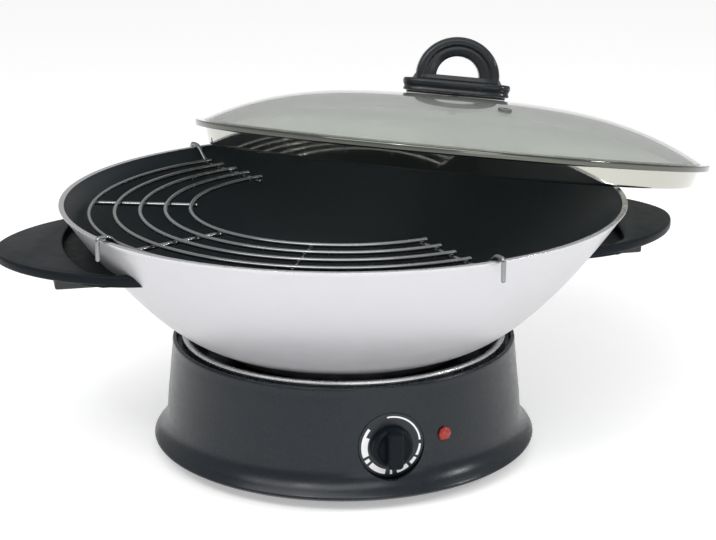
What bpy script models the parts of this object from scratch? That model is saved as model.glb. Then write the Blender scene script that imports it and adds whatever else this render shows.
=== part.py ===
"""Electric wok: a heated base, a wok pan with two handles, a wire draining rack and a glass lid.

Metres, +Z up. The origin is on the wok's axis, on the table. The two handles lie along X and the
controls face -Y. The lid is shown as it is put down: slipped back over the pan and leaning.
"""

import math

import bmesh
import bpy
from mathutils import Matrix, Vector

# Clearances and overruns
GAP = 0.0003
RUNNING_GAP = 0.0004
OVERRUN = 0.004
MERGE = 0.0004

# Smoothness of the round pieces
LARGE_STEPS = 52
MIDDLE_STEPS = 32
SMALL_STEPS = 14
TINY_STEPS = 8
WIRE_SIDES = 6
SHARP_ANGLE = math.radians(35)
QUARTER_TURN = math.radians(90)
HALF_TURN = math.radians(180)
FULL_TURN = math.radians(360)

# Base: the moulded casing
FOOT_HEIGHT = 0.0034
CASE_BOTTOM = 0.0046
CASE_TOP = 0.0742
CASE_TOP_RADIUS = 0.1115
CASE_FLARE_RADIUS = 0.1247
CASE_WALL = 0.0026
CASE_LIP_ROUND = 0.0012
# Height share from bottom to top, and radius share from the top's radius to the flare's
CASE_WALL_SHARES = (
    (0.000, 0.47),
    (0.026, 0.79),
    (0.050, 0.97),
    (0.068, 1.00),
    (0.098, 0.87),
    (0.140, 0.66),
    (0.190, 0.49),
    (0.250, 0.38),
    (0.330, 0.325),
    (0.460, 0.27),
    (0.650, 0.16),
    (0.840, 0.055),
)
LEDGE_DEPTH = 0.0062
LEDGE_WIDTH = 0.0030
LEDGE_THICKNESS = 0.0022
CASE_BOSS_RADIUS = 0.0050
CASE_BOSS_INSET = 0.0071
CASE_BOSS_TOP = 0.0500
CASE_BOSS_ANGLES = tuple(math.radians(angle) for angle in (45, 135, 225, 315))

# Base: bottom cover, its screws and the feet
COVER_THICKNESS = 0.0030
COVER_PAD_PROUD = 0.0004
COVER_CHAMFER = 0.0014
COVER_EDGE_GAP = 0.0006
COVER_SCREW_RADIUS = 0.0015
COVER_SCREW_HEAD_RADIUS = 0.0032
COVER_SCREW_HEAD_HEIGHT = 0.0016
COVER_SCREW_LENGTH = 0.0150
FOOT_RADIUS = 0.0090
FOOT_STEM_RADIUS = 0.0030
FOOT_STEM_LENGTH = 0.0040
FOOT_INSET = 0.0185
FOOT_ANGLES = tuple(math.radians(angle) for angle in (0, 90, 180, 270))

# Base: dish, trim ring and hotplate
DISH_WALL = 0.0012
DISH_WELL_INSET = 0.0140
DISH_WELL_SLOPE = 0.0075
DISH_FLOOR_HEIGHT = 0.0585
TRIM_INSET = 0.0061
TRIM_WIDTH = 0.0042
TRIM_PROUD = 0.0008
HOTPLATE_RADIUS = 0.0800
HOTPLATE_THICKNESS = 0.0070
HOTPLATE_EDGE = 0.0010
HOTPLATE_GROOVE_WIDTH = 0.0016
HOTPLATE_GROOVE_DEPTH = 0.0006
HOTPLATE_GROOVE_SHARES = (0.60,)
POST_RADIUS = 0.0040
POST_CENTRE = 0.0720
POST_ANGLES = tuple(math.radians(angle) for angle in (30, 150, 270))

# Base: heating element
ELEMENT_RADIUS = 0.0034
ELEMENT_RING_RADIUS = 0.0560
ELEMENT_START = math.radians(103)
ELEMENT_SWEEP = math.radians(334)
ELEMENT_STEPS = 22
ELEMENT_BEND = 0.0060
ELEMENT_PIN_LENGTH = 0.0170
ELEMENT_HOLE_GAP = 0.0008
CLIP_ANGLES = tuple(math.radians(angle) for angle in (210, 330))
CLIP_WIDTH = 0.0080
CLIP_LENGTH = 0.0220
CLIP_THICKNESS = 0.0010

# Base: temperature sensor
SENSOR_RADIUS = 0.0086
SENSOR_HEAD_HEIGHT = 0.0028
SENSOR_STEM_RADIUS = 0.0045
SENSOR_STEM_BOTTOM = 0.0520
CAPILLARY_RADIUS = 0.0010
CAPILLARY_DROP = 0.0060
CAPILLARY_POINTS = 10

# Base: thermostat, dial and knob, about an axis that points out of the casing
KNOB_TURN = math.radians(2.0)
KNOB_HEIGHT = 0.0374
DIAL_SINK = 0.0021
DIAL_RADIUS = 0.0205
DIAL_THICKNESS = 0.0012
DIAL_HOLE_RADIUS = 0.0036
PANEL_THICKNESS = 0.0036
PANEL_MARGIN = 0.0020
NOSE_RADIUS = 0.0050
NOSE_LENGTH = 0.0034
SHAFT_RADIUS = 0.0030
SHAFT_LENGTH = 0.0225
SHAFT_INSIDE = 0.0085
THERMOSTAT_WIDTH = 0.0320
THERMOSTAT_HEIGHT = 0.0300
THERMOSTAT_DEPTH = 0.0190
THERMOSTAT_CHAMFER = 0.0020
THERMOSTAT_SCREW_SPACING = 0.0200
THERMOSTAT_SCREW_RADIUS = 0.0014
THERMOSTAT_SCREW_HEAD_RADIUS = 0.0026
THERMOSTAT_SCREW_HEAD_HEIGHT = 0.0010
THERMOSTAT_SCREW_LENGTH = 0.0070
KNOB_RADIUS = 0.0130
KNOB_FACE_GAP = 0.0006
KNOB_SKIRT_HEIGHT = 0.0062
KNOB_CHAMFER = 0.0018
KNOB_GRIP_WIDTH = 0.0100
KNOB_GRIP_HEIGHT = 0.0125
KNOB_GRIP_ROUND = 0.0024

# Base: pilot lamp
LAMP_TURN = math.radians(19.5)
LAMP_HEIGHT = 0.0402
LENS_RADIUS = 0.0045
LENS_STEM_RADIUS = 0.0034
LENS_STEM_LENGTH = 0.0075
LENS_RISE = 0.0026
LENS_PROUD = 0.0003
HOLDER_WALL = 0.0016
HOLDER_LENGTH = 0.0130
HOLDER_FLOOR = 0.0020

# Base: supply side
GLAND_HEIGHT = 0.0340
GLAND_FLANGE_RADIUS = 0.0085
GLAND_NECK_RADIUS = 0.0058
GLAND_BORE_RADIUS = 0.0036
GLAND_FLANGE_THICKNESS = 0.0030
GLAND_NECK_LENGTH = 0.0075
GLAND_PROUD = 0.0015
GLAND_BOSS_DEPTH = 0.0054
BLOCK_WIDTH = 0.0260
BLOCK_DEPTH = 0.0140
BLOCK_HEIGHT = 0.0130
BLOCK_CENTRE = 0.0860
FUSE_RADIUS = 0.0026
FUSE_LENGTH = 0.0200
FUSE_CENTRE = 0.0420
FUSE_ANGLE = math.radians(195)
LEAD_RADIUS = 0.0011
LEAD_POINTS = 10
LEAD_END_GAP = 0.0004

# Pan
RIM_RADIUS = 0.1800
RIM_HEIGHT = 0.1660
PAN_BOTTOM = 0.0752
PAN_BOTTOM_RADIUS = 0.0858
PAN_CURVE_POWER = 1.57
PAN_WALL = 0.0032
PAN_FLOOR_THICKNESS = 0.0050
PAN_RIM_ROUND = 0.0006
PAN_CURVE_STEPS = 8
BASE_DISC_RADIUS = 0.0800
BASE_DISC_THICKNESS = 0.0028
BASE_DISC_PROUD = 0.0001

# Pan handles, in the frame of the handle at +X
HANDLE_DROP = 0.0232
HANDLE_THICKNESS = 0.0058
HANDLE_CENTRE_INSET = 0.0460
HANDLE_OVERHANG = 0.0412
HANDLE_HALF_WIDTH = 0.0800
HANDLE_FULLNESS = 1.75
HANDLE_ROUND = 0.0018
HANDLE_OUTLINE_STEPS = 20
HANDLE_ROOT_DROP = 0.0010
HANDLE_ROOT_WIDTH = 0.0080
HANDLE_ROOT_INSET = 0.0008
GRIP_INNER_INSET = 0.0015
FINGER_GAP_HALF_ANGLE = math.radians(20)
FINGER_GAP_END_INSET = 0.0240
BRACKET_WIDTH = 0.0240
BRACKET_THICKNESS = 0.0016
BRACKET_OVERHANG = 0.0100
BRACKET_LAP = 0.0045
BRACKET_TAB_HEIGHT = 0.0120
SOCKET_WIDTH = 0.0900
SOCKET_OVERHANG = 0.0070
SOCKET_HEIGHT = 0.0074
SOCKET_ROUND = 0.0014
HANDLE_SCREW_SPACING = 0.0160
HANDLE_SCREW_OVERHANG = 0.0025
HANDLE_SCREW_RADIUS = 0.0017
HANDLE_SCREW_HEAD_RADIUS = 0.0034
HANDLE_SCREW_HEAD_HEIGHT = 0.0018
HANDLE_SCREW_GRIP = 0.0034

# Draining rack
WIRE_RADIUS = 0.0014
RACK_DROP = 0.0075
RACK_OUTER_INSET = 0.0185
RACK_SPACING = 0.0160
RACK_ARCS = 5
RACK_OVERHANG = 0.0030
RACK_ARC_PITCH = 0.0170
# Directions of the cross wires; the hooked ones run on over the pan's rim
CROSS_ANGLES = tuple(math.radians(angle) for angle in (114.0, 161.5, 206.5, 246.0, 286.5))
CROSS_HOOKED = (True, False, True, False, True)
CROSS_SINK = 0.0004
HOOK_BEND = 0.0040
HOOK_DROP = 0.0135

# Lid, in its own frame: Z along the lid's axis, from the underside of the rim's flange
LID_OVERHANG = 0.0050
LID_FLANGE_THICKNESS = 0.0045
LID_FLANGE_ROUND = 0.0016
LID_SKIRT_INSET = 0.0060
LID_SKIRT_DEPTH = 0.0120
LID_SKIRT_WALL = 0.0010
LID_SKIRT_TURN_IN = 0.0030
GLASS_INSET = 0.0071
GLASS_THICKNESS = 0.0040
GLASS_SEAT = 0.0012
GLASS_RISE = 0.0315
GLASS_CURVE_POWER = 3.15
GLASS_CURVE_SHARES = (0.0, 0.24, 0.41, 0.56, 0.70, 0.82, 0.92, 1.0)
GLASS_HOLE_RADIUS = 0.0027

# Lid knob
KNOB_PLATE_LENGTH = 0.0740
KNOB_PLATE_WIDTH = 0.0340
KNOB_PLATE_FULLNESS = 3.4
KNOB_PLATE_THICKNESS = 0.0090
KNOB_PLATE_ROUND = 0.0022
KNOB_TIER_LENGTH = 0.0630
KNOB_TIER_WIDTH = 0.0260
KNOB_TIER_HEIGHT = 0.0036
ARCH_LENGTH = 0.0600
ARCH_HEIGHT = 0.0285
ARCH_WIDTH = 0.0205
ARCH_ROUND = 0.0042
ARCH_OPENING_LENGTH = 0.0308
ARCH_OPENING_HEIGHT = 0.0145
ARCH_STEPS = 12
GASKET_INSET = 0.0030
GASKET_THICKNESS = 0.0012
WASHER_RADIUS = 0.0095
WASHER_THICKNESS = 0.0012
LID_SCREW_RADIUS = 0.0022
LID_SCREW_HEAD_RADIUS = 0.0044
LID_SCREW_HEAD_HEIGHT = 0.0026
LID_SCREW_GRIP = 0.0100

# Steam vent
VENT_OFFSET_X = 0.0270
VENT_OFFSET_Y = -0.1050
VENT_RADIUS = 0.0048
VENT_NECK_RADIUS = 0.0030
VENT_BORE_RADIUS = 0.0012
VENT_FLANGE = 0.0010

# How the lid leans: its skirt stands on the rim at two points, this far to each side of its heading
LID_HEADING = math.radians(50.6)
LID_REST_HALF_ANGLE = math.radians(59.4)
LID_LEAN = math.radians(11.6)
LID_SPIN = math.radians(-13.0)
LID_REST_GAP = 0.0010


def clear_scene():
    for obj in list(bpy.data.objects):
        bpy.data.objects.remove(obj, do_unlink=True)


def material(name, colour, roughness, metallic=0.0, transmission=0.0):
    """A Principled material, made once for each name."""
    found = bpy.data.materials.get(name)
    if found:
        return found
    made = bpy.data.materials.new(name)
    made.use_nodes = True
    shader = made.node_tree.nodes["Principled BSDF"]
    shader.inputs["Base Color"].default_value = (*colour, 1.0)
    shader.inputs["Roughness"].default_value = roughness
    shader.inputs["Metallic"].default_value = metallic
    shader.inputs["Transmission Weight"].default_value = transmission
    made.diffuse_color = (*colour, 1.0)
    return made


def charcoal_plastic():
    return material("charcoal_plastic", (0.045, 0.053, 0.060), 0.45)


def black_phenolic():
    return material("black_phenolic", (0.030, 0.032, 0.036), 0.38)


def grey_plastic():
    return material("grey_plastic", (0.100, 0.105, 0.105), 0.55)


def black_enamel():
    return material("black_enamel", (0.008, 0.008, 0.009), 0.30)


def bare_aluminium():
    return material("bare_aluminium", (0.60, 0.61, 0.62), 0.35, 1.0)


def satin_silver():
    return material("satin_silver", (0.74, 0.74, 0.76), 0.38, 0.6)


def polished_steel():
    return material("polished_steel", (0.72, 0.72, 0.71), 0.12, 1.0)


def zinc_steel():
    return material("zinc_steel", (0.55, 0.55, 0.54), 0.40, 1.0)


def clear_glass():
    return material("clear_glass", (0.72, 0.76, 0.72), 0.02, 0.0, 0.9)


def red_lens():
    return material("red_lens", (0.55, 0.03, 0.02), 0.15, 0.0, 0.5)


def white_ceramic():
    return material("white_ceramic", (0.80, 0.79, 0.75), 0.60)


def black_rubber():
    return material("black_rubber", (0.015, 0.015, 0.016), 0.80)


def wire_insulation():
    return material("wire_insulation", (0.30, 0.10, 0.05), 0.60)


def finished(name, mesh, finish):
    """An object made of a bmesh, closed, facing out and shaded smooth where it is round."""
    bmesh.ops.recalc_face_normals(mesh, faces=mesh.faces)
    data = bpy.data.meshes.new(name)
    mesh.to_mesh(data)
    mesh.free()
    data.shade_smooth()
    data.set_sharp_from_angle(angle=SHARP_ANGLE)
    data.materials.append(finish)
    obj = bpy.data.objects.new(name, data)
    bpy.context.scene.collection.objects.link(obj)
    return obj


def turned(name, outline, steps, finish):
    """A turned piece from (radius, height) points: a loop, or a line whose two ends are on the axis."""
    mesh = bmesh.new()
    looped = outline[0][0] > 0
    turns = [FULL_TURN * step / steps for step in range(steps)]
    rings = [
        [mesh.verts.new((radius * math.cos(turn), radius * math.sin(turn), height)) for turn in turns]
        for radius, height in outline
        if radius > 0
    ]
    for low, high in zip(rings, rings[1:] + rings[:1] if looped else rings[1:]):
        for step in range(steps):
            after = (step + 1) % steps
            mesh.faces.new((low[step], low[after], high[after], high[step]))
    if not looped:
        for ring, (_, height), (_, beside) in (
            (rings[0], outline[0], outline[1]),
            (rings[-1], outline[-1], outline[-2]),
        ):
            if height == beside:
                mesh.faces.new(ring)
                continue
            tip = mesh.verts.new((0, 0, height))
            for step in range(steps):
                mesh.faces.new((ring[step], ring[(step + 1) % steps], tip))
    return finished(name, mesh, finish)


def extruded(name, outline, low, high, finish):
    """A flat outline of (x, y) points, from the height low to the height high."""
    mesh = bmesh.new()
    floor = [mesh.verts.new((x, y, low)) for x, y in outline]
    roof = [mesh.verts.new((x, y, high)) for x, y in outline]
    mesh.faces.new(floor)
    mesh.faces.new(roof)
    for index in range(len(outline)):
        after = (index + 1) % len(outline)
        mesh.faces.new((floor[index], floor[after], roof[after], roof[index]))
    return finished(name, mesh, finish)


def swept(name, points, radius, sides, finish):
    """A round bar along a line of points, with flat ends."""
    mesh = bmesh.new()
    points = [Vector(point) for point in points]
    runs = [(after - before).normalized() for before, after in zip(points, points[1:])]
    side = runs[0].orthogonal().normalized()
    rings = []
    for index, point in enumerate(points):
        run_in = runs[max(index - 1, 0)]
        run_out = runs[min(index, len(runs) - 1)]
        along = (run_in + run_out).normalized()
        side = (side - along * side.dot(along)).normalized()
        up = along.cross(side)
        ring = []
        for step in range(sides):
            turn = FULL_TURN * (step + 1 / 2) / sides
            ring.append(mesh.verts.new(point + (side * math.cos(turn) + up * math.sin(turn)) * radius))
        rings.append(ring)
    for ring, after in zip(rings, rings[1:]):
        for step in range(sides):
            other = (step + 1) % sides
            mesh.faces.new((ring[step], ring[other], after[other], after[step]))
    mesh.faces.new(rings[0])
    mesh.faces.new(rings[-1])
    return finished(name, mesh, finish)


def block(name, size, centre, finish):
    """A box with its sides along the axes."""
    mesh = bmesh.new()
    bmesh.ops.create_cube(mesh, size=1, matrix=Matrix.Translation(centre) @ Matrix.Diagonal((*size, 1)))
    return finished(name, mesh, finish)


def bar(name, radius, low, high, steps, finish):
    """A plain round bar along Z."""
    return turned(name, [(0, low), (radius, low), (radius, high), (0, high)], steps, finish)


def bevelled(obj, width, segments=2):
    edge = obj.modifiers.new("rounded_edges", "BEVEL")
    edge.width = width
    edge.segments = segments
    edge.limit_method = "ANGLE"
    edge.angle_limit = SHARP_ANGLE
    return obj


def boolean(obj, other, operation):
    other.hide_render = True
    other.display_type = "WIRE"
    change = obj.modifiers.new(other.name, "BOOLEAN")
    change.operation = operation
    change.solver = "EXACT"
    change.object = other


def cut(obj, *others):
    for other in others:
        boolean(obj, other, "DIFFERENCE")
    return obj


def join(obj, *others):
    for other in others:
        boolean(obj, other, "UNION")
    return obj


def empty(name, place, parent=None):
    """A named frame that pieces hang on."""
    made = bpy.data.objects.new(name, None)
    made.empty_display_size = SENSOR_RADIUS
    bpy.context.scene.collection.objects.link(made)
    made.parent = parent
    made.matrix_local = place
    return made


def hang(parent, *children):
    for child in children:
        child.parent = parent
    return children[0]


def polar(radius, angle, height=0.0):
    return Vector((radius * math.cos(angle), radius * math.sin(angle), height))


def smooth_path(start, start_pull, end_pull, end, count):
    """Points on a cubic curve between two ends, drawn by two pulls."""
    path = []
    for step in range(count):
        t = step / (count - 1)
        near, far = 1 - t, t
        path.append(
            start * near**3
            + start_pull * (3 * near**2 * far)
            + end_pull * (3 * near * far**2)
            + end * far**3
        )
    return path


def out_of_case(turn, height, distance=0.0):
    """A frame on the casing's axis at this height, whose +Z points out at an angle from -Y to +X."""
    heading = Matrix.Rotation(turn, 4, "Z") @ Matrix.Rotation(QUARTER_TURN, 4, "X")
    return Matrix.Translation((0, 0, height)) @ heading @ Matrix.Translation((0, 0, distance))


def case_radius(share):
    return CASE_TOP_RADIUS + (CASE_FLARE_RADIUS - CASE_TOP_RADIUS) * share


def case_height(share):
    return CASE_BOTTOM + (CASE_TOP - CASE_BOTTOM) * share


def case_outer_at(height):
    """The casing's outer radius at a height, between the points of its wall."""
    points = [(case_height(share), case_radius(radius)) for share, radius in CASE_WALL_SHARES]
    points.append((CASE_TOP, CASE_TOP_RADIUS))
    for (low, low_radius), (high, high_radius) in zip(points, points[1:]):
        if low <= height <= high:
            share = (height - low) / (high - low)
            return low_radius + (high_radius - low_radius) * share
    return CASE_TOP_RADIUS


def case_inner_at(height):
    return case_outer_at(height) - CASE_WALL


def case_edge():
    """The widest radius of the casing, past which its cutters end."""
    return max(CASE_TOP_RADIUS, CASE_FLARE_RADIUS) + OVERRUN


def boss_centre():
    return case_outer_at(CASE_BOSS_TOP) - CASE_BOSS_INSET


def foot_centre():
    return cover_radius() - FOOT_INSET


def dial_face():
    return case_outer_at(KNOB_HEIGHT) - DIAL_SINK


def lens_face():
    return case_outer_at(LAMP_HEIGHT) + LENS_PROUD


def gland_face():
    return case_outer_at(GLAND_HEIGHT) + GLAND_PROUD


def well_radius():
    return CASE_TOP_RADIUS - DISH_WELL_INSET


def trim_radius():
    return CASE_TOP_RADIUS - TRIM_INSET


def ledge_height():
    return CASE_TOP - LEDGE_DEPTH


def cover_underside():
    return FOOT_HEIGHT + COVER_PAD_PROUD


def cover_top():
    return cover_underside() + COVER_THICKNESS


def cover_radius():
    return case_radius(CASE_WALL_SHARES[0][1]) - CASE_WALL - COVER_EDGE_GAP


def hotplate_top():
    return PAN_BOTTOM - BASE_DISC_PROUD - GAP


def hotplate_bottom():
    return hotplate_top() - HOTPLATE_THICKNESS


def element_height():
    return hotplate_bottom() - GAP - ELEMENT_RADIUS


def dish_underside():
    return DISH_FLOOR_HEIGHT - DISH_WALL


def panel_front():
    return dial_face() - DIAL_THICKNESS - GAP


def panel_back():
    return panel_front() - PANEL_THICKNESS


def thermostat_front():
    return panel_back() - GAP


def base_case():
    """The moulded casing, with its ledge, screw bosses and control panel."""
    outer = [(case_radius(radius), case_height(height)) for height, radius in CASE_WALL_SHARES]
    inner = [(radius - CASE_WALL, height) for radius, height in outer[::2]]
    lip = CASE_TOP_RADIUS - CASE_WALL
    edge = [
        (CASE_TOP_RADIUS, CASE_TOP - CASE_LIP_ROUND),
        (CASE_TOP_RADIUS - CASE_LIP_ROUND, CASE_TOP),
        (lip, CASE_TOP),
    ]
    ledge_low = ledge_height() - LEDGE_THICKNESS
    ledge = [
        (lip, ledge_height()),
        (lip - LEDGE_WIDTH, ledge_height()),
        (lip - LEDGE_WIDTH, ledge_low),
        (lip, ledge_low - LEDGE_WIDTH),
    ]
    finish = charcoal_plastic()
    case = turned("base_case", outer + edge + ledge + inner[::-1], LARGE_STEPS, finish)
    for angle in CASE_BOSS_ANGLES:
        boss = bar("case_boss", CASE_BOSS_RADIUS, cover_top() + GAP, CASE_BOSS_TOP, SMALL_STEPS, finish)
        boss.location = polar(boss_centre(), angle)
        join(case, boss)
    knob_place = out_of_case(KNOB_TURN, KNOB_HEIGHT)
    lamp_place = out_of_case(LAMP_TURN, LAMP_HEIGHT)
    gland_place = out_of_case(HALF_TURN, GLAND_HEIGHT)
    pocket_radius = DIAL_RADIUS + GAP
    pocket_end = case_edge()
    panel_radius = pocket_radius + PANEL_MARGIN
    panel = bar("case_panel", panel_radius, panel_back(), panel_front() + MERGE, MIDDLE_STEPS, finish)
    panel.matrix_world = knob_place
    gland_seat = gland_face() - GAP
    boss_radius = GLAND_FLANGE_RADIUS + CASE_LIP_ROUND
    gland_boss = bar("gland_boss", boss_radius, gland_seat - GLAND_BOSS_DEPTH, gland_seat, SMALL_STEPS, finish)
    gland_boss.matrix_world = gland_place
    join(case, panel, gland_boss)
    pocket = bar("dial_pocket", pocket_radius, panel_front(), pocket_end, MIDDLE_STEPS, finish)
    nose_hole = bar("nose_hole", NOSE_RADIUS + GAP, panel_back() - OVERRUN, pocket_end, SMALL_STEPS, finish)
    hole_start = CASE_TOP_RADIUS / 2
    lens_hole = bar("lens_hole", LENS_STEM_RADIUS + GAP, hole_start, pocket_end, SMALL_STEPS, finish)
    gland_hole = bar("gland_hole", GLAND_NECK_RADIUS + GAP, hole_start, pocket_end, SMALL_STEPS, finish)
    lens_seat = bar("lens_seat", LENS_RADIUS + GAP, lens_face() - GAP, pocket_end, SMALL_STEPS, finish)
    for cutter in (pocket, nose_hole):
        cutter.matrix_world = knob_place
    for cutter in (lens_hole, lens_seat):
        cutter.matrix_world = lamp_place
    gland_hole.matrix_world = gland_place
    cut(case, pocket, nose_hole, lens_hole, lens_seat, gland_hole)
    screw_hole = THERMOSTAT_SCREW_RADIUS + GAP
    head_hole = THERMOSTAT_SCREW_HEAD_RADIUS + GAP
    head_seat = panel_front() - THERMOSTAT_SCREW_HEAD_HEIGHT - GAP
    for side in (-1, 1):
        hole = bar("panel_screw_hole", screw_hole, panel_back() - OVERRUN, pocket_end, TINY_STEPS, finish)
        head = bar("panel_screw_seat", head_hole, head_seat, pocket_end, SMALL_STEPS, finish)
        for cutter in (hole, head):
            across = side * THERMOSTAT_SCREW_SPACING / 2
            cutter.matrix_world = knob_place @ Matrix.Translation((across, 0, 0))
            cut(case, cutter)
    hole_top = cover_top() + COVER_SCREW_LENGTH
    for angle in CASE_BOSS_ANGLES:
        hole = bar("boss_hole", COVER_SCREW_RADIUS + GAP, cover_top() - OVERRUN, hole_top, TINY_STEPS, finish)
        hole.location = polar(boss_centre(), angle)
        cut(case, hole)
    return case


def bottom_cover():
    edge = cover_radius()
    pad = foot_centre() - FOOT_RADIUS - COVER_EDGE_GAP
    outline = [
        (0, FOOT_HEIGHT),
        (pad - COVER_PAD_PROUD, FOOT_HEIGHT),
        (pad, cover_underside()),
        (edge - 2 * COVER_CHAMFER, cover_underside()),
        (edge, cover_underside() + COVER_CHAMFER),
        (edge, cover_top()),
        (0, cover_top()),
    ]
    cover = turned("bottom_cover", outline, MIDDLE_STEPS, black_enamel())
    for angles, centre, radius in (
        (CASE_BOSS_ANGLES, boss_centre(), COVER_SCREW_RADIUS),
        (FOOT_ANGLES, foot_centre(), FOOT_STEM_RADIUS),
    ):
        for angle in angles:
            hole = bar("cover_hole", radius + GAP, 0, cover_top() + OVERRUN, TINY_STEPS, black_enamel())
            hole.location = polar(centre, angle)
            cut(cover, hole)
    return cover


def cover_screws():
    head_top = cover_underside() - GAP
    head_low = head_top - COVER_SCREW_HEAD_HEIGHT
    tip = cover_top() + COVER_SCREW_LENGTH - COVER_SCREW_RADIUS
    outline = [
        (0, head_low),
        (COVER_SCREW_HEAD_RADIUS, head_low),
        (COVER_SCREW_HEAD_RADIUS, head_top),
        (COVER_SCREW_RADIUS, head_top),
        (COVER_SCREW_RADIUS, tip),
        (0, tip + COVER_SCREW_RADIUS / 2),
    ]
    for number, angle in enumerate(CASE_BOSS_ANGLES, 1):
        screw = turned(f"cover_screw_{number}", outline, TINY_STEPS, zinc_steel())
        screw.location = polar(boss_centre(), angle)


def rubber_feet():
    pad_top = cover_underside() - GAP
    stem_top = pad_top + FOOT_STEM_LENGTH
    outline = [
        (0, 0),
        (FOOT_RADIUS, 0),
        (FOOT_RADIUS, pad_top),
        (FOOT_STEM_RADIUS, pad_top),
        (FOOT_STEM_RADIUS, stem_top),
        (0, stem_top),
    ]
    for number, angle in enumerate(FOOT_ANGLES, 1):
        foot = turned(f"rubber_foot_{number}", outline, SMALL_STEPS, black_rubber())
        foot.location = polar(foot_centre(), angle)


def heat_dish():
    """The black dish that hangs on the casing's ledge and keeps the heat off the works."""
    edge = CASE_TOP_RADIUS - CASE_WALL - GAP
    low = ledge_height() + GAP
    top = low + DISH_WALL
    hole = SENSOR_STEM_RADIUS + RUNNING_GAP
    outline = [
        (hole, DISH_FLOOR_HEIGHT),
        ((well_radius() - DISH_WELL_SLOPE), DISH_FLOOR_HEIGHT),
        (well_radius(), top),
        (edge, top),
        (edge, low),
        (well_radius() + DISH_WALL, low),
        ((well_radius() - DISH_WELL_SLOPE) + DISH_WALL, dish_underside()),
        (hole, dish_underside()),
    ]
    dish = turned("heat_dish", outline, MIDDLE_STEPS, black_enamel())
    for angle in (ELEMENT_START, ELEMENT_START + ELEMENT_SWEEP):
        slot = bar(
            "element_hole", ELEMENT_RADIUS + ELEMENT_HOLE_GAP, dish_underside() - OVERRUN,
            DISH_FLOOR_HEIGHT + OVERRUN, TINY_STEPS, black_enamel(),
        )
        slot.location = polar(ELEMENT_RING_RADIUS, angle)
        cut(dish, slot)
    return dish


def trim_ring():
    low = ledge_height() + GAP + DISH_WALL + GAP
    top = CASE_TOP + TRIM_PROUD
    inner = trim_radius() - TRIM_WIDTH
    bend = TRIM_WIDTH / 4
    outline = [
        (inner, low),
        (trim_radius(), low),
        (trim_radius(), top - bend),
        (trim_radius() - bend, top),
        (inner + bend, top),
        (inner, top - bend),
    ]
    return turned("trim_ring", outline, LARGE_STEPS, polished_steel())


def hotplate():
    """The cast plate, with two turned grooves, round a hole for the sensor."""
    top, low = hotplate_top(), hotplate_bottom()
    inner = SENSOR_RADIUS + RUNNING_GAP
    face = []
    for share in HOTPLATE_GROOVE_SHARES:
        near = inner + (HOTPLATE_RADIUS - inner) * share
        far = near + HOTPLATE_GROOVE_WIDTH
        face += [
            (near, top),
            (near, top - HOTPLATE_GROOVE_DEPTH),
            (far, top - HOTPLATE_GROOVE_DEPTH),
            (far, top),
        ]
    outline = [
        (inner, low),
        (inner, top),
        *face,
        (HOTPLATE_RADIUS - HOTPLATE_EDGE, top),
        (HOTPLATE_RADIUS, top - HOTPLATE_EDGE),
        (HOTPLATE_RADIUS, low),
    ]
    return turned("hotplate", outline, MIDDLE_STEPS, bare_aluminium())


def hotplate_posts():
    for number, angle in enumerate(POST_ANGLES, 1):
        post = bar(
            f"hotplate_post_{number}", POST_RADIUS, DISH_FLOOR_HEIGHT + GAP, hotplate_bottom() - GAP,
            TINY_STEPS, white_ceramic(),
        )
        post.location = polar(POST_CENTRE, angle)


def heating_element():
    """A sheathed ring under the hotplate, with both ends turned down through the dish."""
    height = element_height()
    pin_low = height - ELEMENT_PIN_LENGTH
    bend_share = 1 - math.cos(QUARTER_TURN / 2)
    bend_angle = ELEMENT_BEND / ELEMENT_RING_RADIUS
    path = []
    end = ELEMENT_START + ELEMENT_SWEEP
    path.append(polar(ELEMENT_RING_RADIUS, ELEMENT_START, pin_low))
    path.append(polar(ELEMENT_RING_RADIUS, ELEMENT_START, height - ELEMENT_BEND))
    bend_drop = ELEMENT_BEND * bend_share
    path.append(polar(ELEMENT_RING_RADIUS, ELEMENT_START + bend_angle * bend_share, height - bend_drop))
    for step in range(ELEMENT_STEPS):
        share = step / (ELEMENT_STEPS - 1)
        angle = ELEMENT_START + bend_angle + (ELEMENT_SWEEP - 2 * bend_angle) * share
        path.append(polar(ELEMENT_RING_RADIUS, angle, height))
    path.append(polar(ELEMENT_RING_RADIUS, end - bend_angle * bend_share, height - bend_drop))
    path.append(polar(ELEMENT_RING_RADIUS, end, height - ELEMENT_BEND))
    path.append(polar(ELEMENT_RING_RADIUS, end, pin_low))
    return swept("heating_element", path, ELEMENT_RADIUS, WIRE_SIDES, zinc_steel())


def element_clips():
    """Flat springs under the element, standing on the dish."""
    top = element_height() - ELEMENT_RADIUS - GAP
    low = DISH_FLOOR_HEIGHT + GAP
    half = CLIP_LENGTH / 2
    for number, angle in enumerate(CLIP_ANGLES, 1):
        outline = [
            (-half, low),
            (-half, low + CLIP_THICKNESS),
            (-half / 2, low + CLIP_THICKNESS),
            (-half / 3, top),
            (half / 3, top),
            (half / 2, low + CLIP_THICKNESS),
            (half, low + CLIP_THICKNESS),
            (half, low),
        ]
        clip = extruded(f"element_clip_{number}", outline, -CLIP_WIDTH / 2, CLIP_WIDTH / 2, zinc_steel())
        place = Matrix.Rotation(angle, 4, "Z") @ Matrix.Translation((ELEMENT_RING_RADIUS, 0, 0))
        clip.matrix_world = place @ Matrix.Rotation(QUARTER_TURN, 4, "X")


def heat_sensor():
    top = hotplate_top()
    outline = [
        (0, SENSOR_STEM_BOTTOM),
        (SENSOR_STEM_RADIUS, SENSOR_STEM_BOTTOM),
        (SENSOR_STEM_RADIUS, top - SENSOR_HEAD_HEIGHT),
        (SENSOR_RADIUS, top - SENSOR_HEAD_HEIGHT),
        (SENSOR_RADIUS, top),
        (0, top),
    ]
    return turned("heat_sensor", outline, SMALL_STEPS, bare_aluminium())


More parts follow.
